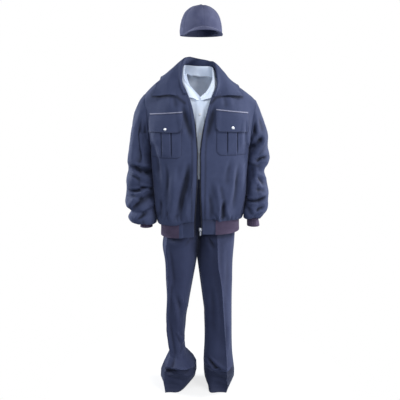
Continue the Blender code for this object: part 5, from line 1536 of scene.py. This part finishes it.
CREASE_ROUTE = {
    # x and z of the pressed crease, from the waist down: the right leg turns out at its hem
    "right": (
        (-0.128, -0.410), (-0.149, -0.640), (-0.154, -0.720), (-0.152, -0.800), (-0.143, -0.876),
        (-0.145, -0.967), (-0.156, -1.029), (-0.150, -1.155), (-0.137, -1.226), (-0.139, -1.270),
        (-0.166, -1.310), (-0.1685, -1.420),
    ),
    "left": (
        (0.070, -0.410), (0.079, -0.640), (0.084, -0.775), (0.096, -0.860), (0.106, -0.975),
        (0.114, -1.100), (0.120, -1.190), (0.124, -1.250), (0.126, -1.310), (0.1275, -1.420),
    ),
}
CREASE_TOP = {"right": -0.60, "left": -0.52}
CREASE_HEIGHT = {"right": 0.0085, "left": 0.0105}


def creased_along(grid, side):
    """Slides the columns over the cloth until the middle one runs where the crease does."""
    route = np.array(CREASE_ROUTE[side])[::-1]
    for row in grid.points:
        z = row[0, 2]
        sharp = unit((CREASE_TOP[side] - z) / 0.14)
        along = lengths_of(row)
        target = float(np.interp(z, route[:, 1], route[:, 0]))
        middle = float(np.interp(target, row[:, 0], along))
        half = np.linspace(0, 1, CREASE_COLUMN + 1)
        at = np.concatenate([half * middle, middle + half[1:] * (along[-1] - middle)])
        ridge = row[CREASE_COLUMN, 1] - (row[CREASE_COLUMN - 1, 1] + row[CREASE_COLUMN + 1, 1]) / 2
        row[CREASE_COLUMN, 1] -= ridge * sharp
        row[:] = np.stack([np.interp(at, along, row[:, k]) for k in range(3)], axis=1)
        way = row[CREASE_COLUMN, :2] - (row[0, :2] + row[-1, :2]) / 2
        row[CREASE_COLUMN, :2] += way / np.linalg.norm(way) * CREASE_HEIGHT[side] * sharp


INSEAM = {
    # the heights, from below, and the x at each that a leg's inner edge passes through
    "right": ((-1.166, -1.076, -0.763, -0.600), (-0.0784, -0.0702, -0.0140, 0.0)),
    "left": ((-1.120, -1.031, -0.763, -0.600), (0.0205, 0.0205, -0.0140, 0.0)),
}


def closed_up(fine, side):
    """Runs the inseam straight up to the fork, above which the two legs meet."""
    sign = SIDES[side]
    column = fine.base[:, -1 if sign < 0 else 0]
    edge, z = column[:, 0].copy(), column[:, 2]
    target = np.interp(z, *INSEAM[side]) - sign * 0.0008
    held = unit((z + 1.120) / 0.070)
    near = np.exp(-np.abs(fine.base[..., 0] - edge[:, None]) / 0.024)
    fine.base[..., 0] += ((target - edge) * held)[:, None] * near


LEG_FRONTS = {
    "right": [
        (-0.156, -0.700, -0.143, -0.900, 0.004, 0.0080, -0.0045),
        (-0.143, -0.870, -0.160, -1.040, -0.003, 0.0070, -0.0045),
        (-0.158, -1.060, -0.136, -1.250, -0.002, 0.0070, -0.0050),
        (-0.136, -1.235, -0.176, -1.315, 0.004, 0.0080, -0.0050),
        (-0.116, -0.930, -0.064, -1.110, 0.004, 0.0140, 0.0070),
        (-0.110, -1.120, -0.034, -1.262, 0.004, 0.0080, -0.0060),
        (-0.186, -1.308, -0.105, -1.300, -0.012, 0.0090, 0.0095),
        (-0.115, -1.296, -0.028, -1.322, 0.002, 0.0100, 0.0080),
        (-0.150, -0.655, -0.060, -0.650, -0.006, 0.0110, 0.0045),
        (-0.016, -0.610, -0.070, -0.690, 0.004, 0.0100, 0.0040),
        (-0.060, -1.150, -0.095, -1.240, 0.003, 0.0090, 0.0045),
        (-0.150, -1.350, -0.060, -1.372, 0.004, 0.0100, 0.0030),
    ],
    "left": [
        (0.030, -1.255, 0.112, -1.306, -0.004, 0.0090, 0.0100),
        (0.108, -1.303, 0.166, -1.316, 0.000, 0.0090, 0.0080),
        (0.024, -1.306, 0.076, -1.308, 0.016, 0.0065, 0.0050),
        (0.016, -0.610, 0.066, -0.700, -0.004, 0.0100, 0.0045),
        (0.130, -0.700, 0.134, -0.980, 0.003, 0.0120, 0.0030),
        (0.140, -1.060, 0.136, -1.260, 0.003, 0.0080, -0.0035),
        (0.050, -0.900, 0.054, -1.150, 0.003, 0.0140, 0.0035),
        (0.050, -1.345, 0.150, -1.360, 0.004, 0.0110, 0.0035),
    ],
}
LEG_BACKS = {
    "right": [
        (-0.020, -0.600, -0.090, -0.680, 0.004, 0.0120, 0.0060),
        (-0.150, -0.700, -0.060, -0.735, 0.006, 0.0120, 0.0055),
        (-0.140, -0.930, -0.070, -0.960, 0.008, 0.0120, 0.0045),
        (-0.140, -0.985, -0.075, -1.005, 0.006, 0.0110, 0.0038),
        (-0.150, -1.180, -0.080, -1.250, 0.004, 0.0110, 0.0080),
        (-0.170, -1.300, -0.060, -1.310, -0.006, 0.0110, 0.0080),
    ],
    "left": [
        (0.020, -0.600, 0.090, -0.680, -0.004, 0.0120, 0.0060),
        (0.145, -0.700, 0.050, -0.735, -0.006, 0.0120, 0.0055),
        (0.140, -0.925, 0.040, -0.955, -0.008, 0.0120, 0.0045),
        (0.130, -0.985, 0.045, -1.000, -0.006, 0.0110, 0.0038),
        (0.140, -1.190, 0.050, -1.260, -0.004, 0.0110, 0.0080),
        (0.150, -1.315, 0.040, -1.310, 0.006, 0.0110, 0.0080),
    ],
}


def flattened_by_press(fine, depth):
    """The iron leaves two flat planes that meet in the crease."""
    v, u = fine.flat_map()
    away = np.abs(u - fine.fold_u) / 0.030
    below_waist = unit((fine.v[-1] - 0.13 - v) / 0.14)
    fine.rise -= depth * away * np.exp(1 - away) * below_waist * fine.inset(0.020)


def leg_shade(fine):
    """Painted shade on the cloth: in the fork, below the break and under the jacket's band."""
    x, z = fine.base[..., 0], fine.base[..., 2]
    fork = np.exp(-np.abs(x) / 0.016) * unit((z + 0.86) / 0.1)
    outer_panel = unit((x - 0.127) / 0.004)
    below = unit((-1.300 - z) / 0.02) * (0.42 + 0.36 * outer_panel)
    under_band = unit((z + 0.660) / 0.03) * 0.5
    return np.maximum(np.maximum(0.75 * fork, below), under_band)


legs = {}
for side, sign in SIDES.items():
    for half, tables in (("front", LEG_FRONTS), ("back", LEG_BACKS)):
        node = f"trouser_{half}_{side}"
        if half == "front":
            creased_along(coarse[node], side)
            hemmed(coarse[node], side)
        fine = legs[node] = Fine(coarse[node], SPACING * 1.1, BROKEN_ROWS, (CREASE_COLUMN,))
        closed_up(fine, side)
        flattened_by_press(fine, 0.0075 if half == "front" else 0.004)
        pressed(fine, tables[side], half)
        swollen(fine, 0.0009, 0.15, 80 + sign + (3 if half == "back" else 0))
        dress(node + "_cloth", node, fine, CLOTH["trouser"], "trouser_cloth", leg_shade(fine))
print("legs:", {node: fine.points.shape[:2] for node, fine in legs.items()})

# %% [markdown]
# ## Shirt
#
# Most of the shirt is hidden. What shows is the strip between the zip's edges, the placket with its buttons
# and the spread collar, so those get the care: a crisp starched collar with a stitched edge, and a placket
# whose edges stand a little proud.

# %% Shirt
SHIRT_FOLDS = [
    (-0.040, -0.060, -0.010, -0.180, 0.003, 0.0080, 0.0030),
    (0.034, -0.070, 0.014, -0.200, -0.003, 0.0080, 0.0030),
    (-0.018, -0.200, -0.030, -0.400, 0.002, 0.0080, 0.0030),
    (0.024, -0.240, 0.020, -0.420, 0.002, 0.0080, 0.0030),
]
for seed, node in enumerate(("shirt_front_left", "shirt_front_right", "shirt_back"), 91):
    fine = Fine(coarse[node], SPACING * 1.6)
    if node != "shirt_back":
        pressed(fine, SHIRT_FOLDS)
    swollen(fine, 0.0006, 0.10, seed)
    dress(node + "_cloth", node, fine, CLOTH["shirt"], "shirt_cotton")
for side in SIDES:
    node = f"shirt_sleeve_{side}"
    dress(node + "_cloth", node, Fine(coarse[node], SPACING * 2), CLOTH["shirt"], "shirt_cotton")
LEAF_MEETS = {
    # x, z of the collar's end on each side, by rows from the neckline to the tip
    "right": (
        (-0.001, -0.026), (-0.001, -0.020), (-0.001, -0.013), (-0.0005, -0.0095),
        (-0.003, -0.0190), (-0.012, -0.0235), (-0.028, -0.0155), (-0.047, -0.0125),
    ),
    "left": (
        (0.001, -0.026), (0.001, -0.021), (0.001, -0.015), (0.0005, -0.0110),
        (0.003, -0.0200), (0.013, -0.0235), (0.030, -0.0185), (0.048, -0.0145),
    ),
}
PLACKET_TOP = (-0.1128, -0.012)  # y and z
PLACKET_CLOTH = 0.0012
PLACKET_STITCH = 0.005
LEAF_STITCH = 0.006
leaf = coarse["shirt_collar"].points
for side, ends in LEAF_MEETS.items():
    first, second = (0, 1) if side == "right" else (-1, -2)
    moves = np.array(ends) - leaf[:, first][:, [0, 2]]
    for column, share in ((first, 1.0), (second, 0.35)):
        leaf[:, column, 0] += share * moves[:, 0]
        leaf[:, column, 2] += share * moves[:, 1]
coarse["shirt_placket"].points[-1, :, 1:] = PLACKET_TOP
leaf[..., 0] -= 0.015 * unit(-leaf[..., 0] / 0.05) * unit((leaf[..., 2] - 0.015) / 0.04)
shirt_collar = Fine(coarse["shirt_collar"], SPACING * 0.7)
v, u = shirt_collar.flat_map()
shirt_collar.rise -= 0.0005 * bell(v - LEAF_STITCH, 0.0012)
seamed(shirt_collar, 0.0004)
dress("shirt_collar_cloth", "shirt_collar", shirt_collar, CLOTH["patch"], "shirt_cotton")
placket = Fine(coarse["shirt_placket"], SPACING * 0.7)
v, u = placket.flat_map()
placket.rise -= 0.0004 * bell(np.minimum(u, placket.u[-1] - u) - PLACKET_STITCH, 0.001)
dress("shirt_placket_cloth", "shirt_placket", placket, PLACKET_CLOTH, "shirt_cotton")
fly = Fine(coarse["trouser_fly"], SPACING * 0.7)
dress("trouser_fly_cloth", "trouser_fly", fly, PLACKET_CLOTH, "trouser_cloth")

# %% [markdown]
# ## Cap
#
# Six panels meet under a covered button. Each seam draws the cloth in, so the panels swell a little between
# them, and a row of stitches runs down each side of it. The peak is stiff and carries rows of stitching.

# %% Cap panels and peak
CAP_LAP = 0.0009  # each panel runs this far past its seam
VISOR_ROWS = (0.006, 0.013, 0.020, 0.027, 0.034, 0.041, 0.048)  # how far in the peak is stitched


def lapped(fine):
    """Runs a panel's two side edges a little way under its neighbours."""
    for edge, inner in ((0, 1), (-1, -2)):
        way = fine.base[:, edge] - fine.base[:, inner]
        fine.base[:, edge] += CAP_LAP * way / np.maximum(np.linalg.norm(way, axis=1), 1e-6)[:, None]


cap_panels = {}
for number in CAP_PANELS:
    node = f"cap_panel_{number}"
    fine = cap_panels[number] = Fine(coarse[node], SPACING * 0.7)
    lapped(fine)
    v, u = fine.flat_map()
    crowned = np.sin(math.pi * unit(u / fine.u[-1])) ** 0.7
    fine.rise += 0.0012 * crowned * unit(v / 0.02) * unit((fine.v[-1] - v) / 0.03)
    swollen(fine, 0.0005, 0.06, 110 + number)
    seamed(fine, 0.0009, bottom=False, top=False)
    dress(node + "_cloth", node, fine, CLOTH["cap"], "cap_cotton")
peak_inner = coarse["cap_visor"].points[-1]
rims = [coarse[f"cap_panel_{number}"].points[0].mean(axis=0) for number in CAP_PANELS]
way_in = flat_round(np.mean(rims, axis=0) - peak_inner)
peak_inner += way_in * 0.0035 + [0, 0, 0.0010]
visor = Fine(coarse["cap_visor"], SPACING * 0.5)
v, u = visor.flat_map()
for row in VISOR_ROWS:
    visor.rise -= 0.00035 * bell(v - row, 0.0011)
seamed(visor, 0.0010, top=False)
dress("cap_visor_cloth", "cap_visor", visor, CLOTH["peak"], "cap_cotton")
print("cap:", {number: fine.points.shape[:2] for number, fine in cap_panels.items()})
print("peak:", visor.points.shape[:2])

# %% [markdown]
# ## Buttons, the trousers' band and the cap's button
#
# The shirt's buttons are turned like the studs, on a placket that is now finer than its solid, so rays find
# their places again. The trousers' band is a straight strip that stands on the top edge of the four pieces,
# and the cap's button is a metal disc that is covered in the cap's own cotton.

# %% Buttons
BUTTONS_AT = (-0.085, -0.170, -0.255, -0.340)
placket_face = tree_over(placket.points)
button_spots = [spot_on(placket_face, 0.0, z) for z in BUTTONS_AT]
for number, (point, normal) in enumerate(button_spots, 1):
    node = f"shirt_button_{number}"
    turned(node + "_disc", BUTTON_PROFILE, point, normal, "shirt_button", node, 24)
COVERED_PROFILE = (
    (0.0070, -0.0010), (0.0076, 0.0004), (0.0074, 0.0014), (0.0064, 0.0026), (0.0048, 0.0035),
    (0.0028, 0.0041), (0.0, 0.0044),
)
(x0, y0, z0), (x1, y1, _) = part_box("cap_button")
apex = Vector(((x0 + x1) / 2, (y0 + y1) / 2, z0))
turned("cap_button_cover", COVERED_PROFILE, apex, Vector((0, 0, 1)), "cap_cotton", "cap_button", 36)

# %% Band on the trousers
TROUSER_BAND = {"height": 0.036, "cloth": 0.0022, "out": 1.003}


def trouser_band():
    """A band that stands on the top edges of the four trouser pieces."""
    order = (("front_right", 1), ("front_left", 1), ("back_left", -1), ("back_right", -1))
    line = np.concatenate([legs["trouser_" + part].base[-1][::step][:-1] for part, step in order])
    line = np.concatenate([line, line[:1]])
    lowest = line * [TROUSER_BAND["out"], TROUSER_BAND["out"], 1] + [0, 0, SEAM]
    share = marks(TROUSER_BAND["height"], 0.006) / TROUSER_BAND["height"]
    grid = lowest[None] + [0, 0, TROUSER_BAND["height"]] * share[:, None, None]
    strip = Strip(grid, lengths_of(line), share * TROUSER_BAND["height"], 1, True)
    node = "trouser_waistband"
    inner = grid - flat_round(strip.plain) * TROUSER_BAND["cloth"]
    piece = shell(node + "_cloth", grid, inner, strip.u, strip.v, "trouser_cloth", node, closed=True)
    declare(piece, strip)
    return strip


waistband = trouser_band()
print("trousers' band:", round(waistband.u[-1], 3), "m round")

# %% [markdown]
# ## Sewing and the zip's teeth
#
# Both are one small shape repeated along a line at an even step, so one node tree does both: it samples the
# line, stands a copy on each point with its length along the line and its top away from the cloth, and joins
# the copies. A stitch is a thin grain of thread that lies in a shallow groove, and a tooth is a rounded block
# of metal that grips the tape's edge.

# %% A node tree that repeats a shape along lines
def repeat_tree(name, finish, size, block):
    """Along the lines of a mesh, with an "out" on each point: named inputs Step, Length, Width and Height."""
    tree = bpy.data.node_groups.new(name, "GeometryNodeTree")
    put = tree.interface.new_socket
    put("Geometry", in_out="INPUT", socket_type="NodeSocketGeometry")
    sockets = {}
    for key, value in zip(("Step", "Length", "Width", "Height"), size):
        sockets[key] = put(key, in_out="INPUT", socket_type="NodeSocketFloat")
        sockets[key].default_value = value
    put("Geometry", in_out="OUTPUT", socket_type="NodeSocketGeometry")
    given, result = tree.nodes.new("NodeGroupInput"), tree.nodes.new("NodeGroupOutput")
    to_curve = add_node(tree, "GeometryNodeMeshToCurve", Mesh=given.outputs["Geometry"])
    evenly = {"Curve": to_curve.outputs["Curve"], "Length": given.outputs["Step"]}
    sample = add_node(tree, "GeometryNodeResampleCurve", {"mode": "LENGTH"}, **evenly)
    if block:
        cube = add_node(tree, "GeometryNodeMeshCube").outputs["Mesh"]
        shape = add_node(tree, "GeometryNodeSubdivisionSurface", Mesh=cube, Level=1, Edge_Crease=0.55)
    else:
        shape = add_node(tree, "GeometryNodeMeshIcoSphere", Radius=0.5, Subdivisions=1)
    axes = {"X": given.outputs["Length"], "Y": given.outputs["Width"], "Z": given.outputs["Height"]}
    sized = add_node(tree, "ShaderNodeCombineXYZ", **axes)
    out = add_node(tree, "GeometryNodeInputNamedAttribute", {"data_type": "FLOAT_VECTOR"}, Name="out")
    turn = "FunctionNodeAlignRotationToVector"
    stand = add_node(tree, turn, {"axis": "Z"}, Vector=out.outputs["Attribute"])
    way = {
        "Rotation": stand.outputs["Rotation"],
        "Vector": add_node(tree, "GeometryNodeInputTangent").outputs["Tangent"],
    }
    along = add_node(tree, turn, {"axis": "X", "pivot_axis": "Z"}, **way)
    stood = {
        "Points": sample.outputs["Curve"],
        "Instance": shape.outputs["Mesh"],
        "Rotation": along.outputs["Rotation"],
        "Scale": sized.outputs["Vector"],
    }
    copies = add_node(tree, "GeometryNodeInstanceOnPoints", **stood)
    joined = add_node(tree, "GeometryNodeRealizeInstances", Geometry=copies.outputs["Instances"])
    made = {"Geometry": joined.outputs["Geometry"], "Material": FINISH[finish]}
    set_inputs(tree, result, Geometry=add_node(tree, "GeometryNodeSetMaterial", **made).outputs["Geometry"])
    return tree, {key: socket.identifier for key, socket in sockets.items()}


def repeated(name, lines, finish, slot, size, block=False):
    """One plain mesh of copies along lines, each line given as points and outward directions."""
    points = np.concatenate([line for line, _ in lines])
    outs = np.concatenate([out for _, out in lines])
    starts = np.cumsum([0] + [len(line) for line, _ in lines])
    edges = [(k, k + 1) for a, b in zip(starts, starts[1:]) for k in range(a, b - 1)]
    mesh = bpy.data.meshes.new(name + "_lines")
    mesh.from_pydata(points.tolist(), edges, [])
    mesh.attributes.new("out", "FLOAT_VECTOR", "POINT").data.foreach_set("vector", outs.reshape(-1))
    guide = bpy.data.objects.new(name + "_lines", mesh)
    bpy.context.scene.collection.objects.link(guide)
    modifier = guide.modifiers.new("repeat", "NODES")
    modifier.node_group, names = repeat_tree(name + "_tree", finish, size, block)
    for key, value in zip(("Step", "Length", "Width", "Height"), size):
        modifier[names[key]] = value
    evaluated = guide.evaluated_get(bpy.context.evaluated_depsgraph_get())
    made = bpy.data.meshes.new_from_object(evaluated)
    made.name = name
    guide.modifiers.clear()
    bpy.data.objects.remove(guide)
    finished(name, made, slot, finish=finish)
    print(name, "copies along", round(sum(lengths_of(line)[-1] for line, _ in lines), 2), "m of line")


# %% Lines on cloth
def on_cloth(fine, points, path, step=0.0015):
    """Points and outward directions on a grid, along a path in its flat map."""
    path = np.array(path, float)
    at = lengths_of(path)
    fine_at = np.linspace(0, at[-1], max(2, round(at[-1] / step)))
    i = np.interp(np.interp(fine_at, at, path[:, 1]), fine.v, np.arange(len(fine.v)))
    j = np.interp(np.interp(fine_at, at, path[:, 0]), fine.u, np.arange(len(fine.u)))
    i0 = np.clip(i.astype(int), 0, len(fine.v) - 2)
    j0 = np.clip(j.astype(int), 0, len(fine.u) - 2)
    a, b = (i - i0)[:, None], (j - j0)[:, None]
    normals = fine.normals_of(points)

    def read(grid):
        low = grid[i0, j0] * (1 - b) + grid[i0, j0 + 1] * b
        high = grid[i0 + 1, j0] * (1 - b) + grid[i0 + 1, j0 + 1] * b
        return low * (1 - a) + high * a

    return read(points), read(normals)


def round_three_sides(patch, inside, top=0.0):
    """A path down one side, along the bottom and up the other."""
    wide, tall = patch.u[-1] - inside, patch.v[-1] - top
    return ((inside, tall), (inside, inside), (wide, inside), (wide, tall))


def upright(fine, u):
    """A path up a piece that ends a little inside both seams."""
    return ((u, SEAM_END), (u, fine.v[-1] - SEAM_END))


# %% Stitch the jacket
STITCHES = {
    # step, length, width and height of a stitch
    "jacket": (0.0030, 0.0023, 0.00050, 0.00040),
    "shirt": (0.0026, 0.0020, 0.00040, 0.00035),
    "cap": (0.0030, 0.0024, 0.00050, 0.00045),
}
TWIN_ROWS = (0.0020, 0.0075)  # how far in the two rows round a patch run
SEAM_END = 0.004
jacket_lines = []
for side in SIDES:
    pocket, flap, fine = pockets[side], flaps[side], body[side]
    for inside in TWIN_ROWS:
        path = round_three_sides(pocket, inside)
        jacket_lines.append(on_cloth(pocket, pocket.points_at(POCKET_CLOTH), path))
    for inside in TWIN_ROWS:
        jacket_lines.append(on_cloth(flap, flap_faces[side], round_three_sides(flap, inside, 0.002)))
    at = fine.u[-1] - ZIP_SEAM if side == "right" else ZIP_SEAM
    for u in (at - 0.0011, at + 0.0011):
        jacket_lines.append(on_cloth(fine, fine.points, upright(fine, u)))
    tab = tabs[side]
    start, wide, tall = TAB_STITCH, tab.u[-1] - TAB_STITCH, tab.v[-1] - 0.006
    around = ((start, start), (wide, start), (wide, tall), (start, tall), (start, start))
    jacket_lines.append(on_cloth(tab, tab.base, around))
edge = round_three_sides(collar, COLLAR_EDGE, 0.030)
jacket_lines.append(on_cloth(collar, collar.points, edge))
repeated("jacket_stitches", jacket_lines, "navy_thread", "jacket_twill", STITCHES["jacket"])

# %% Stitch the shirt and the cap
shirt_lines = []
for u in (PLACKET_STITCH, placket.u[-1] - PLACKET_STITCH):
    shirt_lines.append(on_cloth(placket, placket.points, upright(placket, u)))
wide, tall = shirt_collar.u[-1] - LEAF_STITCH, 0.030
edge = ((LEAF_STITCH, tall), (LEAF_STITCH, LEAF_STITCH), (wide, LEAF_STITCH), (wide, tall))
shirt_lines.append(on_cloth(shirt_collar, shirt_collar.points, edge))
for point, normal in button_spots:
    for turn in (45, -45):
        way = Vector((math.cos(math.radians(turn)), 0, math.sin(math.radians(turn)))) * 0.0016
        lift = normal * 0.0015
        shirt_lines.append((np.array([point + lift - way, point + lift + way]), np.array([normal, normal])))
repeated("shirt_stitches", shirt_lines, "white_thread", "shirt_cotton", STITCHES["shirt"])

cap_lines = []
for fine in cap_panels.values():
    for u in (0.0035, fine.u[-1] - 0.0035):
        cap_lines.append(on_cloth(fine, fine.points, ((u, 0.006), (u, fine.v[-1] - 0.010))))
    cap_lines.append(on_cloth(fine, fine.points, ((0.002, 0.020), (fine.u[-1] - 0.002, 0.020))))
for row in VISOR_ROWS:
    if row < visor.v[-1] - 0.004:
        cap_lines.append(on_cloth(visor, visor.points, ((0.008, row), (visor.u[-1] - 0.008, row))))
repeated("cap_stitches", cap_lines, "cap_thread", "cap_cotton", STITCHES["cap"])

# %% Set the zip's teeth
TOOTH = (0.0030, 0.0020, 0.0046, 0.0026)  # step, length, width and height
teeth = []
for line in teeth_lines.values():
    towards = np.tile([0.0, -1.0, 0.0], (len(line), 1))
    teeth.append((line + [0, 0.0004, 0], towards))
repeated("zip_teeth", teeth, "dark_metal", "zip_tape", TOOTH, block=True)

# %% [markdown]
# ## What stays
#
# Small hard pieces are already round enough as solids, so they only get their finish.

# %% Finish the solids that stay
for name, node in frame["nodes"].items():
    if not node.hide_render:
        slot = next(part["material_slot"] for part in frame["record"]["subparts"] if part["node"] == name)
        for place in node.material_slots:
            place.material = FINISH[slot]
print("solids that stay:", [name for name, node in frame["nodes"].items() if not node.hide_render])

# %% [markdown]
# ## Sizes of the cuts
#
# The size of each cut is printed: its longest row and column and its area.

# %% Sizes
for row in CUTS:
    print("cut:", *row)
